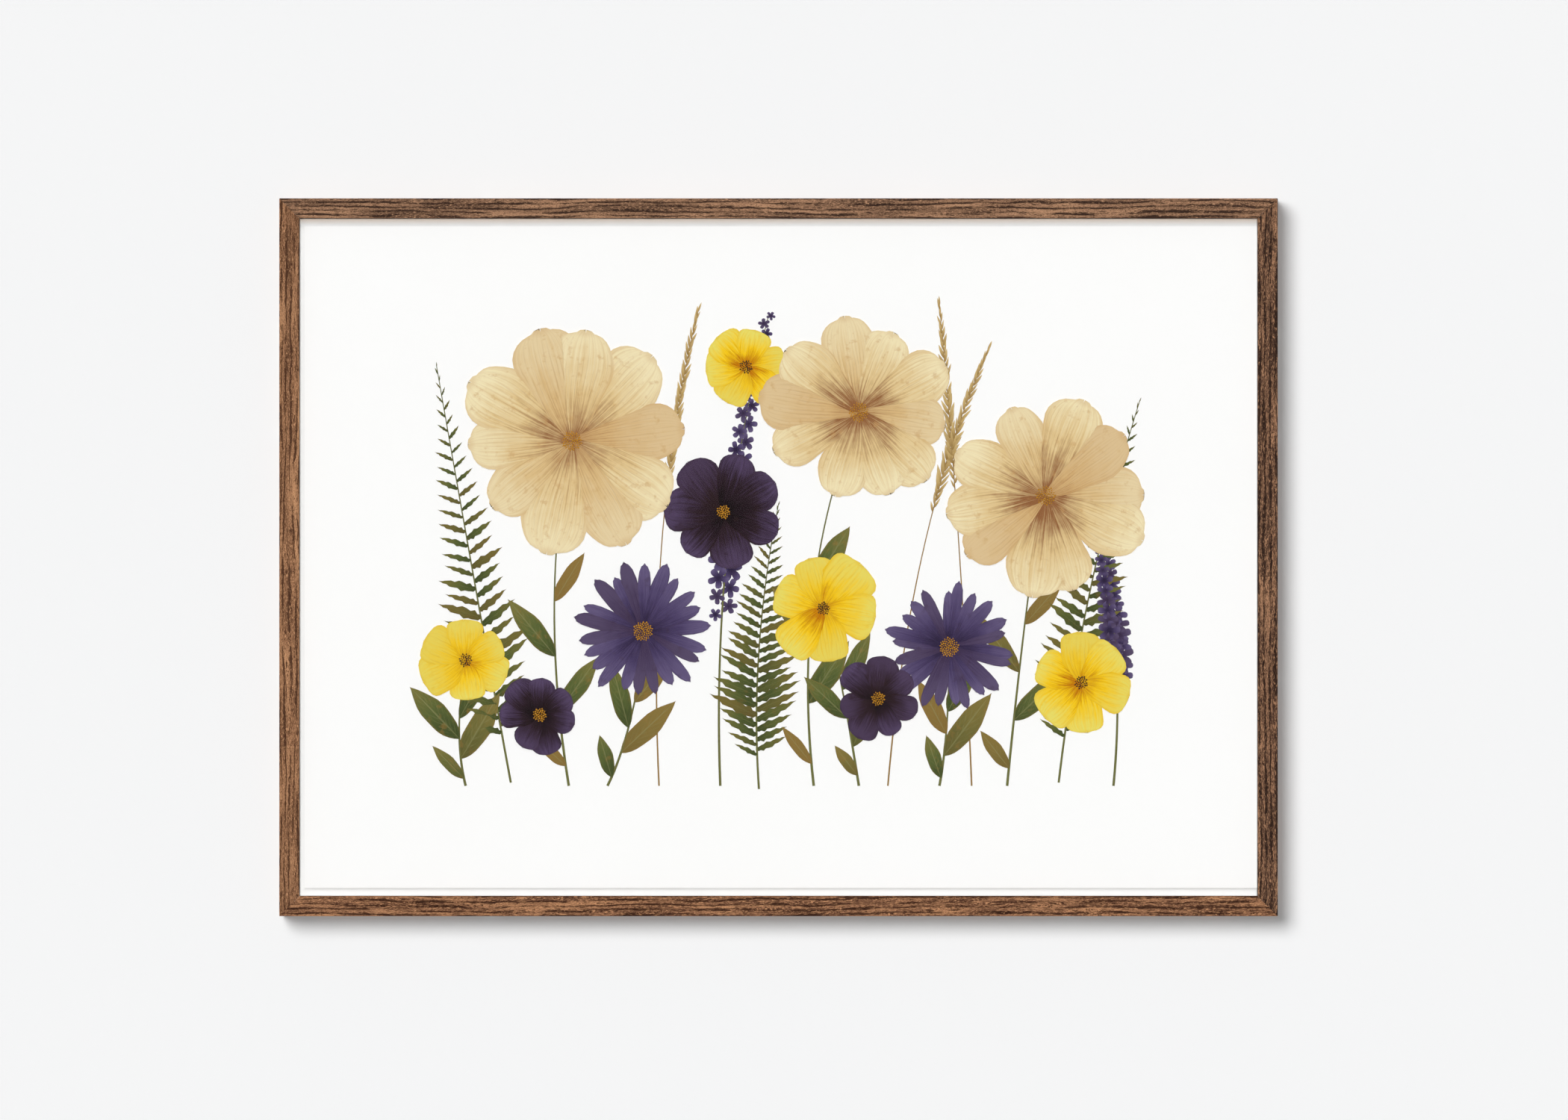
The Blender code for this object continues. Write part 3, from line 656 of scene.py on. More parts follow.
@dataclass
class TurnButtons:
    """Stamped tabs that hold the backing in, each cranked down towards its tip."""

    easing: float = 0.2 * MM
    crank_start: float = 6.0 * MM
    crank_end: float = 9.5 * MM
    crank_drop: float = 0.2 * MM
    crank_lines: int = 6

    def build(self, finish: bpy.types.Material) -> None:
        """Makes each button as a piece on its own body."""
        pivots = {joint["child"]: Vector(joint["pos_m"]) for joint in frame["joints"]}
        for node in sorted(name for name in frame["nodes"] if name.startswith("turn_button_")):
            body = node.removeprefix("turn_")
            pivot = pivots[body]
            lo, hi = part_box(node)
            reach = (lo + hi) / 2 - pivot
            along = Vector((reach.x, 0.0, reach.z)).normalized()
            span = self.crank_end - self.crank_start
            places = [self.crank_start + span * line / self.crank_lines for line in range(self.crank_lines + 1)]
            form = eased_copy(node, self.easing, [(pivot + along * place, along) for place in places])
            for vertex in form.verts:
                share = ((vertex.co - pivot).dot(along) - self.crank_start) / span
                share = min(1.0, max(0.0, share))
                vertex.co.y -= self.crank_drop * share * share * (3 - 2 * share)
            piece = stand(f"{node}_stamped", smooth(mesh_of(node, form)))
            dress(piece, finish)
            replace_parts(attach(piece, body), node)
            report(piece, node)


@dataclass
class Hangers:
    """Strap plates with a rolled eye, and the wire rings that swing in them."""

    easing: float = 0.18 * MM
    wire_sides: int = 16
    arc_steps: int = 14
    seam: float = 0.12 * MM

    def ring_path(self, lo: Vector, hi: Vector, radius: float, corner: float) -> list[Vector]:
        """Points along the middle of a ring's wire: a straight bar with a round bow above it."""
        left, right, foot = lo.x + radius, hi.x - radius, lo.z + radius
        half = (right - left) / 2
        middle, spring = (left + right) / 2, hi.z - radius - half
        arcs = (
            (right - corner, foot + corner, corner, -math.pi / 2, 0.0),
            (middle, spring, half, 0.0, math.pi),
            (left + corner, foot + corner, corner, math.pi, 1.5 * math.pi),
        )
        y = (lo.y + hi.y) / 2
        path = []
        for x, z, reach, start, end in arcs:
            for step in range(self.arc_steps + 1):
                angle = start + (end - start) * step / self.arc_steps
                path.append(Vector((x + reach * math.cos(angle), y, z + reach * math.sin(angle))))
        return path

    def ring_mesh(self, name: str, path: list[Vector], radius: float) -> bpy.types.Mesh:
        """A closed wire along a path, which closes on the bar."""
        form = bmesh.new()
        rings = []
        for index, point in enumerate(path):
            ahead = (path[(index + 1) % len(path)] - path[index - 1]).normalized()
            side = Vector((0.0, 1.0, 0.0))
            out = ahead.cross(side)
            angles = [2 * math.pi * step / self.wire_sides for step in range(self.wire_sides)]
            rings.append([form.verts.new(point + (out * math.cos(a) + side * math.sin(a)) * radius) for a in angles])
        for index, ring in enumerate(rings):
            after = rings[(index + 1) % len(rings)]
            for side in range(self.wire_sides):
                beside = (side + 1) % self.wire_sides
                form.faces.new((ring[side], after[side], after[beside], ring[beside]))
        return smooth(mesh_of(name, form))

    def build(self, plate: bpy.types.Material, wire: bpy.types.Material) -> None:
        """Makes both straps and both rings."""
        for side in ("left", "right"):
            strap = f"hanger_strap_{side}"
            piece = stand(f"{strap}_plate", smooth(mesh_of(strap, eased_copy(strap, self.easing))))
            dress(piece, plate)
            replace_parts(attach(piece, ROOT), strap)
            report(piece, strap)
            ring = f"hanger_ring_{side}"
            lo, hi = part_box(ring)
            radius = (hi.y - lo.y) / 2
            path = self.ring_path(lo, hi, radius, radius * 1.25)
            piece = stand(f"{ring}_wire", self.ring_mesh(ring, path, radius))
            dress(piece, wire)
            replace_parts(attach(piece, f"ring_{side}"), ring)
            report(piece, ring)


@dataclass
class Rails:
    """The four mitred rails, each from a board of its own."""

    oaks: dict[str, StainedOak] = field(default_factory=lambda: {
        # Each rail's oak darkens its inner sight edge with painted shade, at its own strength.
        "top": StainedOak("oak_top", False, 210.0, (40.0, 13.0, 71.0), (54, 39, 32), (130, 98, 76), (192, 147, 113), bands=1.2),
        "bottom": StainedOak("oak_bottom", False, 210.0, (910.0, 47.0, 12.0), (58, 36, 26), (135, 95, 71),
                             (198, 145, 104), bands=1.1, painted_edge_shade=0.1),
        "left": StainedOak("oak_left", True, 297.0, (330.0, 88.0, 5.0), (72, 47, 34), (143, 102, 74), (204, 153, 112),
                           bands=0.5, painted_edge_shade=0.2),
        "right": StainedOak("oak_right", True, 297.0, (1500.0, 29.0, 44.0), (47, 33, 27), (90, 66, 53),
                            (186, 139, 105), ring_spacing=3.6, waver=5.0, bands=2.0, painted_edge_shade=0.05),
    })

    def build(self) -> None:
        """Dresses each rail."""
        for side, oak in self.oaks.items():
            node = f"rail_{side}"
            dress(frame["nodes"][node], oak.material())
            report(frame["nodes"][node])


@dataclass
class Pack:
    """What lies in the rebate, from the pane to the backing."""

    boards: dict[str, BoardFinish] = field(default_factory=lambda: {
        "art_sheet": BoardFinish("rag_paper", (254, 254, 253), (246, 245, 241), 0.85, 1400.0, 0.25, 0.03 * MM),
        # The card gets a painted warm shade towards its top edge, under the top rail.
        "mount_board": BoardFinish("card", (247, 247, 246), (237, 236, 233), 0.88, 1100.0, 0.3, 0.04 * MM,
                                   painted_shade_from=206.0 * MM),
        "float_riser": BoardFinish("foam_core", (245, 245, 243), (228, 228, 224), 0.8, 900.0, 0.3, 0.04 * MM),
        "sheet_tape": BoardFinish("linen_tape", (236, 228, 206), (214, 202, 172), 0.65, 1800.0, 0.5, 0.03 * MM),
        "backing_board": BoardFinish("hardboard", (142, 104, 72), (92, 64, 42), 0.62, 1300.0, 0.8, 0.08 * MM,
                                     tone=(186, 150, 112), mesh=1.8 * MM),
        "spacer": BoardFinish("spacer_strip", (243, 242, 239), (226, 224, 219), 0.55, 700.0, 0.25, 0.02 * MM),
    })

    def build(self) -> None:
        """Dresses the pane and each board."""
        finishes = {node: board.material() for node, board in self.boards.items()}
        finishes["glazing"] = acrylic()
        for name, node in frame["nodes"].items():
            for start, finish in finishes.items():
                if name.startswith(start):
                    dress(node, finish)
                    report(node)


class VeinPattern(Enum):
    """How the veins of a petal or a leaf run."""

    FAN = "fan"
    PINNATE = "pinnate"


@dataclass(frozen=True)
class PressedFinish:
    """A dried petal or leaf, coloured along its length, with veins, a browned rim and blotches."""

    name: str
    base: Rgb
    body: Rgb
    tip: Rgb
    vein: Rgb
    blotch: Rgb
    pattern: VeinPattern = VeinPattern.FAN
    veins: float = 9.0
    vein_share: float = 0.5
    rim: float = 0.4
    blotches: float = 0.35
    aged: float = 0.3

    def vein_mask(self, petal: Surface, across: Socket, along: Socket, stray: Socket, broken: Socket) -> Socket:
        """Strength of the veins, from 0 to 1."""
        wide = petal.math("ABSOLUTE", across)
        if self.pattern is VeinPattern.FAN:
            phase = petal.math("MULTIPLY_ADD", across, self.veins / 2, petal.math("MULTIPLY", stray, 2.6))
            fade = petal.remap(along, 0.05, 0.95, 1.0, 0.2)
        else:
            rising = petal.math("MULTIPLY_ADD", wide, -0.30, along)
            phase = petal.math("MULTIPLY_ADD", rising, self.veins, petal.math("MULTIPLY", stray, 0.8))
            fade = petal.remap(wide, 0.1, 1.0, 0.7, 0.2)
        ridge = petal.math("ABSOLUTE", petal.math("SUBTRACT", petal.math("FRACT", phase), 0.5))
        lines = petal.math("MULTIPLY", petal.remap(ridge, 0.0, 0.20, 1.0, 0.0), fade)
        lines = petal.math("MULTIPLY", lines, petal.remap(broken, 0.36, 0.60, 0.15, 1.0))
        if self.pattern is VeinPattern.FAN:
            return lines
        return petal.math("MAXIMUM", lines, petal.remap(wide, 0.02, 0.11, 1.0, 0.0))

    def material(self) -> bpy.types.Material:
        """The finish, laid out by the blade's own place across and along."""
        petal = Surface(self.name, 0.68)
        petal.shader.inputs["Specular IOR Level"].default_value = 0.15
        blade = petal.node("ShaderNodeAttribute", attribute_name="blade").outputs["Vector"]
        tint = petal.node("ShaderNodeAttribute", attribute_name="tint").outputs["Fac"]
        across, along, _ = petal.split(blade)
        cloud = petal.noise(petal.place, (70.0,) * 3, 3.0, 0.6)
        lay = petal.combine(across, along, petal.math("MULTIPLY", tint, 9.0))
        streak = petal.noise(lay, (13.0, 1.6, 5.0), 3.0, 0.65)
        stray = petal.noise(lay, (1.6, 1.3, 7.0), 2.0)
        shift = petal.math("MULTIPLY_ADD", petal.math("SUBTRACT", cloud, 0.5), 0.55, along)
        shift = petal.math("MULTIPLY_ADD", petal.math("SUBTRACT", tint, 0.5), 0.30, shift)
        shift = petal.math("MULTIPLY_ADD", petal.math("SUBTRACT", streak, 0.5), 1.0, shift)
        body = petal.ramp(shift, ((0.02, self.base), (0.42, self.body), (0.95, self.tip)))
        lines = self.vein_mask(petal, across, along, stray, petal.noise(lay, (4.0, 4.5, 6.0), 2.0))
        dried = petal.mix(petal.remap(tint, 0.45, 1.0, 0.0, self.aged), body, linear(self.blotch))
        veined = petal.mix(petal.math("MULTIPLY", lines, self.vein_share), dried, linear(self.vein))
        edge = petal.math("MAXIMUM", petal.remap(petal.math("ABSOLUTE", across), 0.80, 1.0),
                          petal.remap(along, 0.93, 1.0))
        spots = petal.remap(petal.noise(petal.place, (190.0,) * 3, 3.0, 0.6), 0.56, 0.74, 0.0, self.blotches)
        marked = petal.math("MAXIMUM", petal.math("MULTIPLY", edge, self.rim), spots)
        colour = petal.mix(marked, veined, linear(self.blotch))
        relief = petal.math("MULTIPLY_ADD", lines, 0.6, streak)
        return petal.wear(colour, petal.remap(streak, 0.3, 0.7, 0.58, 0.76), relief, 0.10 * MM, 0.6)


@dataclass(frozen=True)
class Blade:
    """A flat petal or leaf one unit long, from its base at the origin up Z, facing -Y."""

    width: float
    low: float
    high: float
    notch: float = 0.0
    ruffle: float = 0.0
    lobes: float = 0.0
    rows: int = 14
    columns: int = 6
    thickness: float = 0.0025
    cup: float = 0.003

    def point(self, along: float, across: float, side: int) -> Vector:
        """A place on the front, where side is -1, or on the back."""
        peak = self.low / (self.low + self.high)
        open_share = (along / peak) ** self.low * ((1 - along) / (1 - peak)) ** self.high
        wave = math.sin(2 * math.pi * self.lobes * along + 0.9 * across)
        half = self.width / 2 * max(open_share, 0.03) * (1 + self.ruffle * wave * across * across)
        dip = self.notch * max(0.0, 1 - 1.5 * abs(across)) + 0.25 * self.ruffle * math.sin(7 * across + self.lobes)
        swell = self.cup * 4 * along * (1 - along) * (1 - across * across)
        return Vector((across * half, side * self.thickness / 2 - swell, along - dip * along**9))

    def template(self, name: str, copies: int = 1) -> bpy.types.Object:
        """One blade, or several around the origin, as a closed thin shell.

        Args:
            name: name of the object.
            copies: blades in the ring.

        Returns:
            The object, whose points know their place across and along the blade.
        """
        form, places = bmesh.new(), []
        for copy in range(copies):
            spin = Matrix.Rotation(2 * math.pi * copy / copies, 3, "Y")
            layers = []
            for side in (-1, 1):
                grid = []
                for row in range(self.rows + 1):
                    along = 0.5 - 0.5 * math.cos(math.pi * row / self.rows)
                    line = [2 * column / self.columns - 1 for column in range(self.columns + 1)]
                    places += [(across, along, 0.0) for across in line]
                    grid.append([form.verts.new(spin @ self.point(along, across, side)) for across in line])
                layers.append(grid)
                for near, far in zip(grid, grid[1:]):
                    for first in range(self.columns):
                        form.faces.new((near[first], near[first + 1], far[first + 1], far[first]))
            front, back = ([*g[0], *(r[-1] for r in g[1:]), *g[-1][-2::-1], *(r[0] for r in g[-2:0:-1])] for g in layers)
            for index in range(len(front)):
                form.faces.new((front[index - 1], front[index], back[index], back[index - 1]))
        mesh = mesh_of(name, form)
        store = mesh.attributes.new("blade", "FLOAT_VECTOR", "POINT")
        for item, place in zip(store.data, places):
            item.vector = place
        return stand(name, smooth(mesh, math.radians(60)))


class PlantWorks(NodeWorks):
    """A tree that lays blades, with chance and with a tint for each blade."""

    def chance(self, low: float | Socket, high: float | Socket, shift: int) -> Socket:
        """A random number for each point, from the tree's own seed."""
        seed = self.graph.math("ADD", self.given["Seed"], float(shift))
        inputs = {2: low, 3: high, 8: seed}
        return self.graph.node("FunctionNodeRandomValue", inputs, data_type="FLOAT").outputs[1]

    def lay(self, points: Socket, blade: Socket, angle: Socket, scale: Socket, shift: int) -> Socket:
        """Blades on points, each turned in the picture's plane, scaled and given its own tint."""
        graph = self.graph
        turn = graph.node("FunctionNodeEulerToRotation", {0: graph.combine(0.0, angle, 0.0)}).outputs[0]
        shape = graph.node("GeometryNodeObjectInfo", {"Object": blade}).outputs["Geometry"]
        inputs = {"Points": points, "Instance": shape, "Rotation": turn, "Scale": scale}
        laid = graph.node("GeometryNodeInstanceOnPoints", inputs).outputs[0]
        inputs = {"Geometry": laid, "Name": "tint", "Value": self.chance(0.0, 1.0, shift)}
        return graph.node("GeometryNodeStoreNamedAttribute", inputs, domain="INSTANCE").outputs[0]


def whorl_works() -> PlantWorks:
    """The tree of one flower head: petals around each point of its carrier, and a disc of grains."""
    kinds = {"Petal": "Object", "Count": "Int", "Length": "Float", "Jitter": "Float", "Step": "Float",
             "Seed": "Int", "Finish": "Material", "Grain": "Object", "Grains": "Int", "Disc": "Float",
             "Disc Finish": "Material"}
    works = PlantWorks("whorl", kinds)
    graph, given = works.graph, works.given
    index = graph.node("GeometryNodeInputIndex").outputs[0]
    petals = graph.node("GeometryNodePoints", {"Count": given["Count"]}).outputs[0]
    rise = graph.combine(0.0, graph.math("MULTIPLY", index, graph.math("MULTIPLY", given["Step"], -1.0)), 0.0)
    petals = graph.node("GeometryNodeSetPosition", {"Geometry": petals, "Offset": rise}).outputs[0]
    share = graph.math("DIVIDE", index, given["Count"])
    back = graph.math("MULTIPLY", given["Jitter"], -1.0)
    angle = graph.math("MULTIPLY_ADD", share, 2 * math.pi, works.chance(back, given["Jitter"], 1))
    length = graph.math("MULTIPLY", given["Length"], works.chance(0.88, 1.06, 2))
    broad = graph.math("MULTIPLY", length, works.chance(0.88, 1.12, 3))
    petals = works.lay(petals, given["Petal"], angle, graph.combine(broad, length, length), 4)
    grains = graph.node("GeometryNodePoints", {"Count": given["Grains"]}).outputs[0]
    spread = graph.math("SQRT", graph.math("DIVIDE", graph.math("ADD", index, 0.5), given["Grains"]))
    radius = graph.math("MULTIPLY", spread, given["Disc"])
    golden = graph.math("MULTIPLY", index, math.pi * (3 - math.sqrt(5)))
    height = graph.math("MULTIPLY_ADD", graph.math("MULTIPLY", spread, spread), 0.12 * MM, -0.12 * MM)
    top = graph.math("MULTIPLY", graph.math("MULTIPLY", given["Count"], given["Step"]), -1.0)
    place = graph.combine(graph.math("MULTIPLY", radius, graph.math("SINE", golden)), graph.math("ADD", height, top),
                          graph.math("MULTIPLY", radius, graph.math("COSINE", golden)))
    grains = graph.node("GeometryNodeSetPosition", {"Geometry": grains, "Position": place}).outputs[0]
    size = works.chance(0.7, 1.2, 5)
    grains = works.lay(grains, given["Grain"], golden, graph.combine(size, size, size), 6)
    turn = graph.node("GeometryNodeInputNamedAttribute", {"Name": "turn"}, data_type="FLOAT_VECTOR").outputs[0]
    turn = graph.node("FunctionNodeEulerToRotation", {0: turn}).outputs[0]
    heads = []
    for part, finish in ((petals, given["Finish"]), (grains, given["Disc Finish"])):
        inputs = {"Points": given["Geometry"], "Instance": part, "Rotation": turn}
        heads.append((graph.node("GeometryNodeInstanceOnPoints", inputs).outputs[0], finish))
    works.close(*heads)
    return works


def spray_works() -> PlantWorks:
    """The tree of one stem: a flat tapered stalk along its carrier's line, with blades on both sides."""
    kinds = {"Blade": "Object", "Count": "Int", "Start": "Float", "End": "Float", "Size": "Float", "Lean": "Float",
             "Fade": "Float", "Spread": "Float", "Stalk": "Float", "Jitter": "Float", "Seed": "Int", "Plane": "Float",
             "Finish": "Material", "Stalk Finish": "Material"}
    works = PlantWorks("spray", kinds)
    graph, given = works.graph, works.given
    line = graph.node("GeometryNodeMeshToCurve", {0: given["Geometry"]}).outputs[0]
    share = graph.node("GeometryNodeSplineParameter").outputs["Factor"]
    thin = graph.math("MULTIPLY", given["Stalk"], graph.math("MULTIPLY_ADD", share, -0.65, 1.0))
    ring = graph.node("GeometryNodeCurvePrimitiveCircle", {"Resolution": 6, "Radius": 1.0}).outputs["Curve"]
    inputs = {"Curve": line, "Profile Curve": ring, "Scale": thin, "Fill Caps": True}
    stalk = graph.node("GeometryNodeCurveToMesh", inputs).outputs[0]
    plane = graph.combine(0.0, given["Plane"], 0.0)
    inputs = {"Geometry": stalk, "Translation": plane, "Scale": (1.0, 0.2, 1.0)}
    stalk = graph.node("GeometryNodeTransform", inputs).outputs[0]
    cut = graph.node("GeometryNodeTrimCurve", {"Curve": line, "Start": given["Start"], "End": given["End"]}).outputs[0]
    dots = graph.node("GeometryNodeCurveToPoints", {"Curve": cut, "Count": given["Count"]}).outputs
    east, _, north = graph.split(dots["Tangent"])
    index = graph.node("GeometryNodeInputIndex").outputs[0]
    place = graph.math("DIVIDE", index, given["Count"])
    side = graph.math("MULTIPLY_ADD", graph.math("MODULO", index, 2.0), 2.0, -1.0)
    lean = graph.math("MULTIPLY", graph.math("MULTIPLY", side, given["Lean"]),
                      graph.math("SUBTRACT", 1.0, graph.math("POWER", place, 6.0)))
    back = graph.math("MULTIPLY", given["Jitter"], -1.0)
    angle = graph.math("ADD", graph.math("ADD", graph.math("ARCTAN2", east, north), lean),
                       works.chance(back, given["Jitter"], 1))
    fade = graph.math("SUBTRACT", 1.0, graph.math("MULTIPLY", place, given["Fade"]))
    young = graph.math("MULTIPLY", fade, graph.math("MINIMUM", graph.math("MULTIPLY_ADD", place, 3.0, 0.5), 1.0))
    length = graph.math("MULTIPLY", graph.math("MULTIPLY", given["Size"], young), works.chance(0.85, 1.1, 2))
    broad = graph.math("MULTIPLY", length, works.chance(0.85, 1.15, 3))
    away = graph.math("MULTIPLY", graph.math("MULTIPLY", side, given["Spread"]), fade)
    rise = graph.combine(graph.math("MULTIPLY", away, north), graph.math("MULTIPLY_ADD", side, 0.05 * MM, -0.10 * MM),
                         graph.math("MULTIPLY", away, graph.math("MULTIPLY", east, -1.0)))
    dots = graph.node("GeometryNodeSetPosition", {"Geometry": dots["Points"], "Offset": rise}).outputs[0]
    blades = works.lay(dots, given["Blade"], angle, graph.combine(broad, length, length), 4)
    blades = graph.node("GeometryNodeTransform", {"Geometry": blades, "Translation": plane}).outputs[0]
    works.close((blades, given["Finish"]), (stalk, given["Stalk Finish"]))
    return works


@dataclass(frozen=True)
class Flower:
    """A kind of flower head."""

    blade: Blade
    finish: PressedFinish
    disc_finish: BoardFinish
    count: int
    step: float
    jitter: float
    disc: float
    grains: int


@dataclass(frozen=True)
class Plant:
    """A kind of stem with blades."""

    blade: Blade
    finish: PressedFinish
    copies: int
    count: int
    start: float
    end: float
    size: float
    lean: float
    fade: float
    spread: float
    stalk: float
    jitter: float


STAMENS = BoardFinish("stamens", (196, 138, 40), (110, 66, 18), 0.8, 1500.0, 0.7, 0.02 * MM)
SEEDS = BoardFinish("seed_disc", (74, 50, 26), (32, 20, 14), 0.8, 1500.0, 0.7, 0.02 * MM)
GREEN = PressedFinish("leaf_green", (66, 76, 40), (88, 98, 52), (120, 114, 60), (146, 144, 96), (146, 112, 58),
                      VeinPattern.PINNATE, 8.0, 0.4, 0.35, 0.5, 0.75)
FERN = PressedFinish("fern_green", (62, 72, 38), (84, 92, 48), (114, 108, 54), (126, 126, 78), (118, 90, 46),
                     VeinPattern.PINNATE, 6.0, 0.3, 0.3, 0.4, 0.4)
STRAW = PressedFinish("grass_straw", (150, 120, 70), (192, 162, 104), (214, 188, 132), (160, 128, 78), (130, 98, 56),
                      VeinPattern.FAN, 3.0, 0.4, 0.4, 0.3)
CREAM = PressedFinish("petal_cream", (142, 94, 58), (222, 194, 140), (240, 226, 184), (164, 118, 76), (198, 154, 98),
                      veins=15.0, vein_share=0.55, rim=0.3, blotches=0.45, aged=0.55)
PURPLE = PressedFinish("petal_purple", (44, 34, 60), (74, 62, 98), (104, 92, 128), (46, 34, 64), (62, 46, 60),
                       veins=5.0, vein_share=0.5, rim=0.3, blotches=0.35, aged=0.5)
YELLOW = PressedFinish("petal_yellow", (188, 112, 8), (244, 200, 26), (232, 218, 104), (196, 138, 18), (226, 184, 40),
                       veins=11.0, vein_share=0.5, rim=0.45, blotches=0.35, aged=0.4)
DARK = PressedFinish("petal_dark", (18, 10, 12), (42, 28, 36), (84, 68, 98), (20, 12, 18), (44, 28, 26),
                     veins=11.0, vein_share=0.6, rim=0.3, blotches=0.4, aged=0.4)
FLOWERS = {
    "cream": Flower(Blade(0.54, 0.80, 0.34, 0.0, 0.07, 1.7, 18, 8), CREAM, STAMENS, 10, 0.05 * MM, 0.16, 6.0 * MM, 60),
    "aster": Flower(Blade(0.22, 0.60, 0.42, 0.0, 0.06, 1.2, 9, 4), PURPLE, STAMENS, 22, 0.02 * MM, 0.09, 6.0 * MM, 70),
    "yellow": Flower(Blade(0.86, 0.72, 0.30, 0.0, 0.07, 1.3), YELLOW, SEEDS, 6, 0.05 * MM, 0.12, 4.0 * MM, 34),
    "dark": Flower(Blade(0.68, 0.70, 0.34, 0.0, 0.07, 1.6), DARK, STAMENS, 7, 0.05 * MM, 0.15, 4.2 * MM, 36),
}
LEAF = Blade(0.30, 0.75, 0.95, 0.0, 0.05, 2.0, cup=0.002)
PLANTS = {
    "leafy": Plant(LEAF, GREEN, 1, 4, 0.06, 0.55, 54 * MM, 0.62, 0.40, 0.0, 0.95 * MM, 0.14),
    "frond": Plant(Blade(0.20, 0.45, 0.85, 0.0, 0.30, 6.0, 14, 2), FERN, 1, 52, 0.12, 1.0, 34 * MM, 1.12, 0.92, 0.0,
                   0.8 * MM, 0.06),
    "spike": Plant(Blade(0.62, 0.70, 0.35, 0.0, 0.04, 1.0, 6, 2), PURPLE, 5, 34, 0.36, 1.0, 9.0 * MM, 0.8, 0.66,
                   4.0 * MM, 0.9 * MM, 1.1),
    "grass": Plant(Blade(0.20, 0.55, 0.90, 0.0, 0.0, 0.0, 6, 2), STRAW, 1, 46, 0.62, 1.0, 13 * MM, 0.34, 0.5, 0.0,
                   0.6 * MM, 0.12),
}


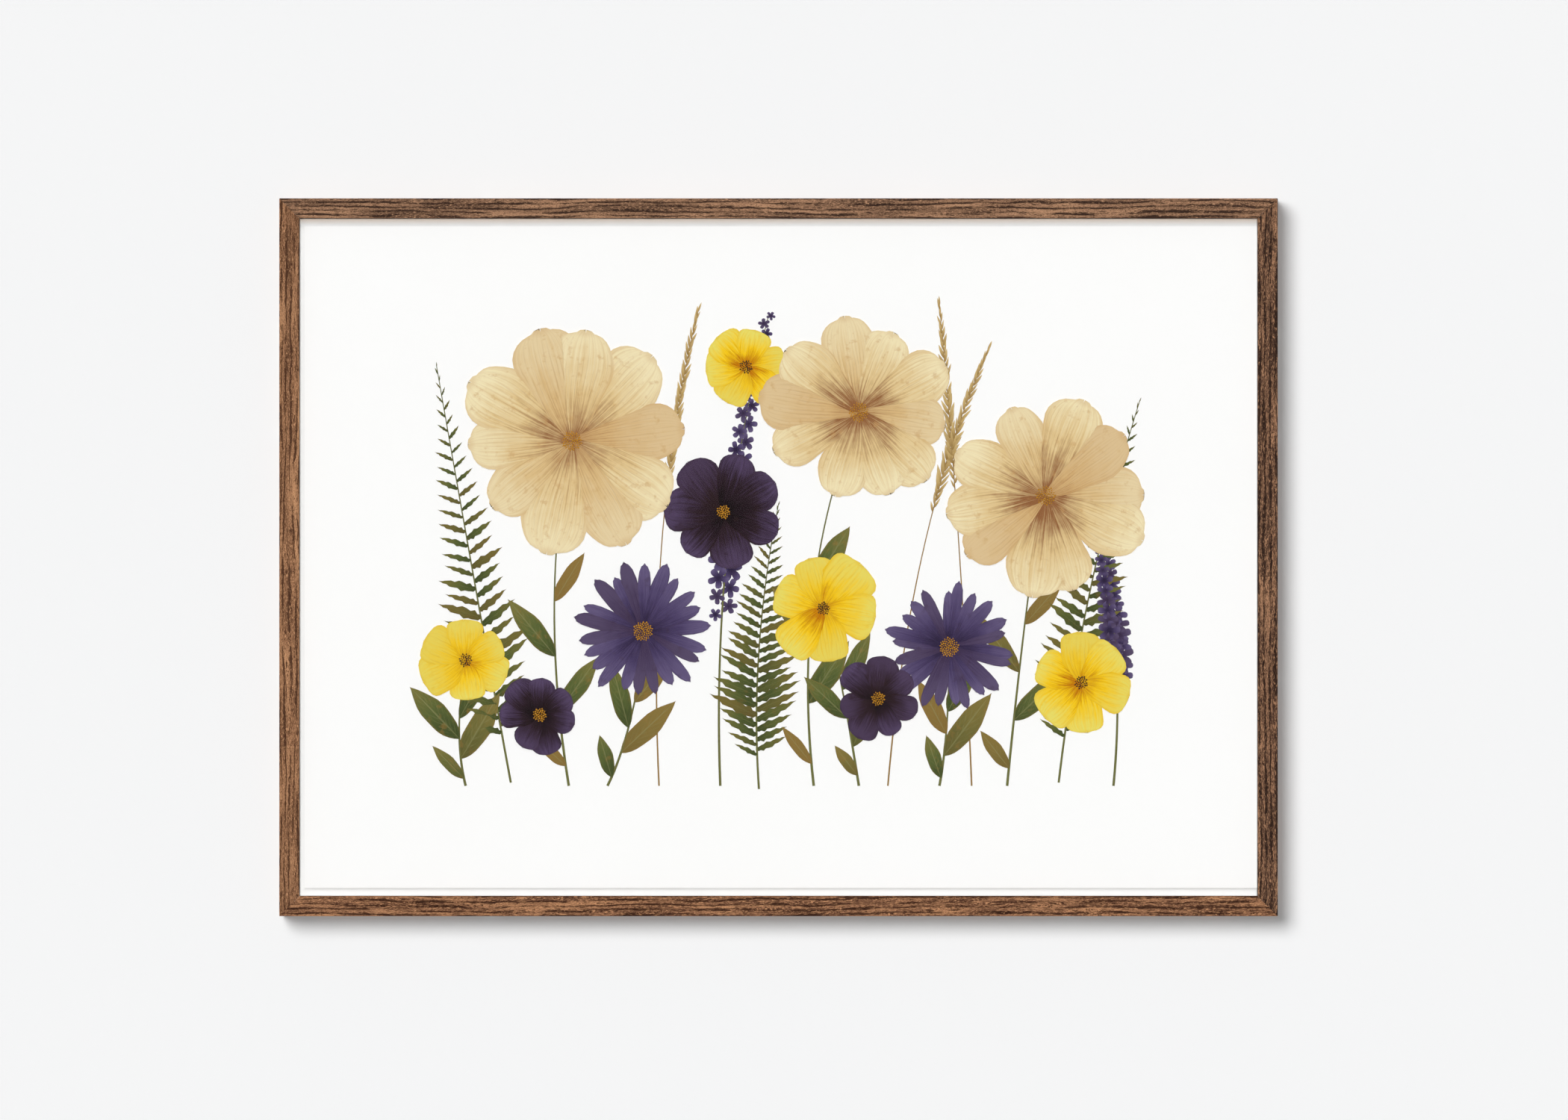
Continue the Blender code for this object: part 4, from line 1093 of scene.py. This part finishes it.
@dataclass
class Meadow:
    """An upright row of pressed flowers, ferns and grasses, laid on the sheet under the pane."""

    plane: float = 0.06 * MM
    bloom_plane: float = 0.62 * MM
    line_points: int = 26
    grain_radius: float = 0.55 * MM
    stems: tuple = (
        ("frond", 11, (-168, -140), (-190, -20), (-214, 118)),
        ("frond", 12, (172, -140), (186, -20), (222, 96)),
        ("frond", 13, (-14, -144), (-20, -60), (-2, 32)),
        ("grass", 21, (-76, -142), (-84, 20), (-52, 152)),
        ("grass", 22, (118, -142), (112, 10), (98, 156)),
        ("grass", 23, (66, -142), (80, 20), (128, 128)),
        ("spike", 31, (-38, -142), (-44, 10), (-8, 150)),
        ("spike", 32, (206, -142), (214, -60), (196, 20)),
        ("leafy", 41, (-132, -142), (-150, -30), (-132, 66)),
        ("leafy", 42, (-108, -142), (-92, -110), (-84, -46)),
        ("leafy", 43, (20, -142), (6, -20), (46, 84)),
        ("leafy", 44, (48, -142), (40, -90), (28, -34)),
        ("leafy", 45, (140, -142), (150, -40), (162, 40)),
        ("leafy", 46, (98, -142), (104, -110), (104, -58)),
        ("leafy", 47, (-196, -142), (-204, -110), (-196, -66)),
    )
    blooms: tuple = (
        ("cream", 1, -130, 72, 138), ("cream", 2, 48, 90, 118), ("cream", 3, 164, 38, 124),
        ("aster", 4, -86, -46, 84), ("aster", 5, 104, -56, 78), ("yellow", 6, 26, -32, 68),
        ("yellow", 7, -196, -64, 56), ("yellow", 8, -22, 118, 50), ("dark", 9, -36, 28, 72),
        ("dark", 10, 60, -88, 54), ("dark", 11, -150, -98, 50), ("yellow", 12, 186, -78, 60),
    )

    def line(self, name: str, bends: Sequence[Plan], centre: Plan) -> bpy.types.Mesh:
        """A bowed line through three places, in millimetres from the sheet's centre."""
        rows = []
        for step in range(self.line_points):
            t = step / (self.line_points - 1)
            weights = ((1 - t) * (1 - t), 2 * t * (1 - t), t * t)
            x, z = (sum(w * bend[axis] for w, bend in zip(weights, bends)) * MM for axis in (0, 1))
            rows.append((centre[0] + x, 0.0, centre[1] + z))
        mesh = bpy.data.meshes.new(name)
        mesh.from_pydata(rows, [(step, step + 1) for step in range(len(rows) - 1)], [])
        return mesh

    def grain(self) -> bpy.types.Object:
        """One grain of a flower's disc."""
        form = bmesh.new()
        bmesh.ops.create_icosphere(form, subdivisions=1, radius=self.grain_radius)
        bmesh.ops.scale(form, vec=(1.0, 0.35, 1.3), verts=form.verts)
        return stand("grain", smooth(mesh_of("grain", form), math.pi))

    def build(self) -> None:
        """Lays all stems, then all flower heads over them."""
        lo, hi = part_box("art_sheet")
        centre = ((lo.x + hi.x) / 2, (lo.z + hi.z) / 2)
        finishes = {part: part.material() for part in (STAMENS, SEEDS, GREEN, FERN, STRAW, CREAM, PURPLE, YELLOW, DARK)}
        stalks = BoardFinish("stalks", (108, 110, 62), (84, 70, 40), 0.7, 900.0, 0.7, 0.02 * MM).material()
        blades = {kind: plant.blade.template(kind, plant.copies) for kind, plant in PLANTS.items()}
        blades.update({kind: flower.blade.template(kind) for kind, flower in FLOWERS.items()})
        sprays, whorls, grain = spray_works(), whorl_works(), self.grain()
        for order, (kind, seed, *bends) in enumerate(self.stems, 1):
            plant, name = PLANTS[kind], f"pressed_{kind}_{order}"
            stalk = finishes[STRAW] if plant.finish is STRAW else stalks
            piece = sprays.make(
                name, self.line(name, bends, centre), Blade=blades[kind], Count=plant.count, Start=plant.start,
                End=plant.end, Size=plant.size, Lean=plant.lean, Fade=plant.fade, Spread=plant.spread, Stalk=plant.stalk,
                Jitter=plant.jitter, Seed=seed, Plane=lo.y - self.plane - plant.stalk * 0.2,
                Finish=finishes[plant.finish], Stalk_Finish=stalk)
            report(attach(piece, ROOT))
        for kind, seed, x, z, across in self.blooms:
            flower, name = FLOWERS[kind], f"pressed_{kind}_{seed}"
            spot = Vector((centre[0] + x * MM, lo.y - self.bloom_plane, centre[1] + z * MM))
            draw = random.Random(seed)
            turn = (0.0, draw.uniform(0.0, 2 * math.pi), 0.0)
            piece = whorls.make(
                name, points_mesh(name, [spot], [turn]), Petal=blades[kind], Count=flower.count,
                Length=across / 2 * MM, Jitter=flower.jitter, Step=flower.step, Seed=seed,
                Finish=finishes[flower.finish], Grain=grain, Grains=flower.grains, Disc=flower.disc,
                Disc_Finish=finishes[flower.disc_finish])
            report(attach(piece, ROOT))
        for template in (*blades.values(), grain):
            bpy.data.objects.remove(template)


class LightGroup(Enum):
    """What a lamp lights: the backdrop or the frame."""

    BACKDROP = "INCLUDE"
    FRAME = "EXCLUDE"


@dataclass
class Studio:
    """The pale wall and floor, the soft lamps and the camera."""

    lens: float = 300.0
    sensor: float = 36.0
    picture_width: float = 0.972
    sight: Plan = (0.0034, -0.0017)
    floor_height: float = -0.95
    reach: float = 9.0
    wall_gap: float = 0.2 * MM
    lamps: tuple = (
        ("wall_key", LightGroup.BACKDROP, 0.91, 30.0, (0.40, 1.0, -0.36)),
        ("front_fill", LightGroup.FRAME, 0.46, 3.0, (0.0, 1.0, 0.0)),
        ("front_side", LightGroup.FRAME, 0.07, 3.0, (0.27, 1.0, 0.0)),
        ("front_key_low", LightGroup.FRAME, 0.10, 8.0, (0.0, 1.0, -0.12)),
        ("front_key_mid", LightGroup.FRAME, 0.10, 8.0, (0.0, 1.0, -0.24)),
        ("front_key_high", LightGroup.FRAME, 0.10, 8.0, (0.0, 1.0, -0.36)),
        ("front_key_top", LightGroup.FRAME, 0.10, 8.0, (0.0, 1.0, -0.50)),
        ("left_fill", LightGroup.FRAME, 0.26, 36.0, (1.0, -0.5, -0.30)),
        ("right_fill", LightGroup.FRAME, 0.22, 36.0, (-1.0, -0.5, -0.30)),
        ("back_key", LightGroup.FRAME, 0.50, 36.0, (-0.35, -1.0, -0.60)),
        ("back_dome", LightGroup.FRAME, 0.12, 170.0, (0.0, -1.0, 0.0)),
    )

    def plane(self, name: str, corners: Sequence[Sequence[float]]) -> bpy.types.Object:
        """A large flat backdrop that only the camera sees, and only from its front."""
        form = bmesh.new()
        form.faces.new([form.verts.new(corner) for corner in corners])
        mesh = bpy.data.meshes.new(name)
        form.to_mesh(mesh)
        form.free()
        plane = stand(name, mesh)
        plane.visible_diffuse = False
        plane.visible_glossy = False
        plane.visible_transmission = False
        plane.visible_shadow = False
        return plane

    def backdrop_material(self, name: str, glow_share: float) -> bpy.types.Material:
        """Pale paint that keeps the frame's shadow and isn't there from behind."""
        paint = Surface(name, 0.9)
        lit = paint.node("ShaderNodeBsdfDiffuse", {"Color": (0.796, 0.80, 0.804, 1.0)})
        glow = paint.node("ShaderNodeEmission", {"Color": (1.0, 1.0, 1.0, 1.0), "Strength": glow_share})
        both = paint.node("ShaderNodeAddShader", {0: lit.outputs[0], 1: glow.outputs[0]})
        clear = paint.node("ShaderNodeBsdfTransparent")
        behind = paint.node("ShaderNodeNewGeometry").outputs["Backfacing"]
        shown = paint.node("ShaderNodeMixShader", {0: behind, 1: both.outputs[0], 2: clear.outputs[0]})
        paint.tree.links.new(shown.outputs[0], paint.tree.nodes["Material Output"].inputs["Surface"])
        paint.tree.nodes.remove(paint.shader)
        return paint.material

    def light(self, planes: Sequence[bpy.types.Object]) -> None:
        """Hangs the lamps, each for the backdrop or for the frame. The pane mirrors none that is in front of it."""
        groups = {}
        for group in LightGroup:
            groups[group] = bpy.data.collections.new(f"lit_{group.name.lower()}")
            for plane in planes:
                groups[group].objects.link(plane)
            for member in groups[group].collection_objects:
                member.light_linking.link_state = group.value
        for name, group, share, spread, aim in self.lamps:
            lamp = bpy.data.lights.new(name, "SUN")
            lamp.energy = share * math.pi
            lamp.angle = math.radians(spread)
            holder = bpy.data.objects.new(name, lamp)
            holder.rotation_euler = Vector(aim).to_track_quat("-Z", "Y").to_euler()
            holder.light_linking.receiver_collection = groups[group]
            holder.visible_glossy = aim[1] < 0
            bpy.context.scene.collection.objects.link(holder)

    def sky(self) -> None:
        """A dim even sky, with soft bands that only gloss shows, and a pale ground for the eye."""
        world = bpy.data.worlds.new("studio")
        world.use_nodes = True
        bpy.context.scene.world = world
        graph = Graph(world.node_tree)
        path = graph.node("ShaderNodeLightPath").outputs
        height = graph.split(graph.node("ShaderNodeTexCoord").outputs["Generated"])[2]
        band = graph.remap(height, -0.5, 0.8, 0.25, 1.0)
        gloss = graph.combine(band, band, band)
        base = graph.mix(path["Is Glossy Ray"], (0.08, 0.08, 0.08, 1.0), gloss)
        clear = graph.math("MAXIMUM", path["Is Camera Ray"], path["Is Transmission Ray"])
        colour = graph.mix(clear, base, (0.92, 0.92, 0.92, 1.0))
        graph.tree.links.new(colour, graph.tree.nodes["Background"].inputs["Color"])

    def look(self) -> None:
        """Sets the camera straight in front of the frame."""
        camera = bpy.data.cameras.new("camera")
        camera.lens = self.lens
        camera.sensor_width = self.sensor
        holder = bpy.data.objects.new("camera", camera)
        distance = self.picture_width * self.lens / self.sensor
        holder.location = (self.sight[0], CAD_BOX[0].y - distance, self.sight[1])
        holder.rotation_euler = (math.pi / 2, 0.0, 0.0)
        bpy.context.scene.collection.objects.link(holder)
        bpy.context.scene.camera = holder

    def build(self) -> None:
        """Sets up the whole studio."""
        bpy.context.scene.view_settings.view_transform = "Standard"
        far, gap, floor = self.reach, self.wall_gap, self.floor_height
        wall = self.plane("wall", ((-far, gap, floor), (far, gap, floor), (far, gap, far), (-far, gap, far)))
        ground = self.plane("floor", ((-far, -far, floor), (far, -far, floor), (far, far, floor), (-far, far, floor)))
        dress(wall, self.backdrop_material("pale_wall", 0.215))
        dress(ground, self.backdrop_material("pale_floor", 0.62))
        self.light((wall, ground))
        self.sky()
        self.look()


def main() -> None:
    """Builds every sub-assembly in turn."""
    logging.basicConfig(level=logging.INFO, format="%(name)s: %(message)s")
    Studio().build()
    Rails().build()
    Pack().build()
    Meadow().build()
    works = fixing_works()
    Screws().build(works, MetalFinish("bright_steel", (188, 186, 180), (150, 146, 138), 0.32).material())
    CornerNails().build(works, MetalFinish("bare_steel", (150, 150, 152), (104, 96, 90), 0.42).material())
    WallBumpers().build(works, BoardFinish("rubber", (70, 68, 66), (48, 46, 45), 0.8, 900.0, 0.5, 0.03 * MM).material())
    TurnButtons().build(MetalFinish("zinc_plate", (196, 197, 196), (158, 158, 150), 0.36).material())
    Hangers().build(
        MetalFinish("nickel_plate", (205, 200, 190), (170, 162, 146), 0.26).material(),
        MetalFinish("nickel_wire", (210, 206, 198), (176, 170, 158), 0.22).material(),
    )


if __name__ == "__main__":
    main()
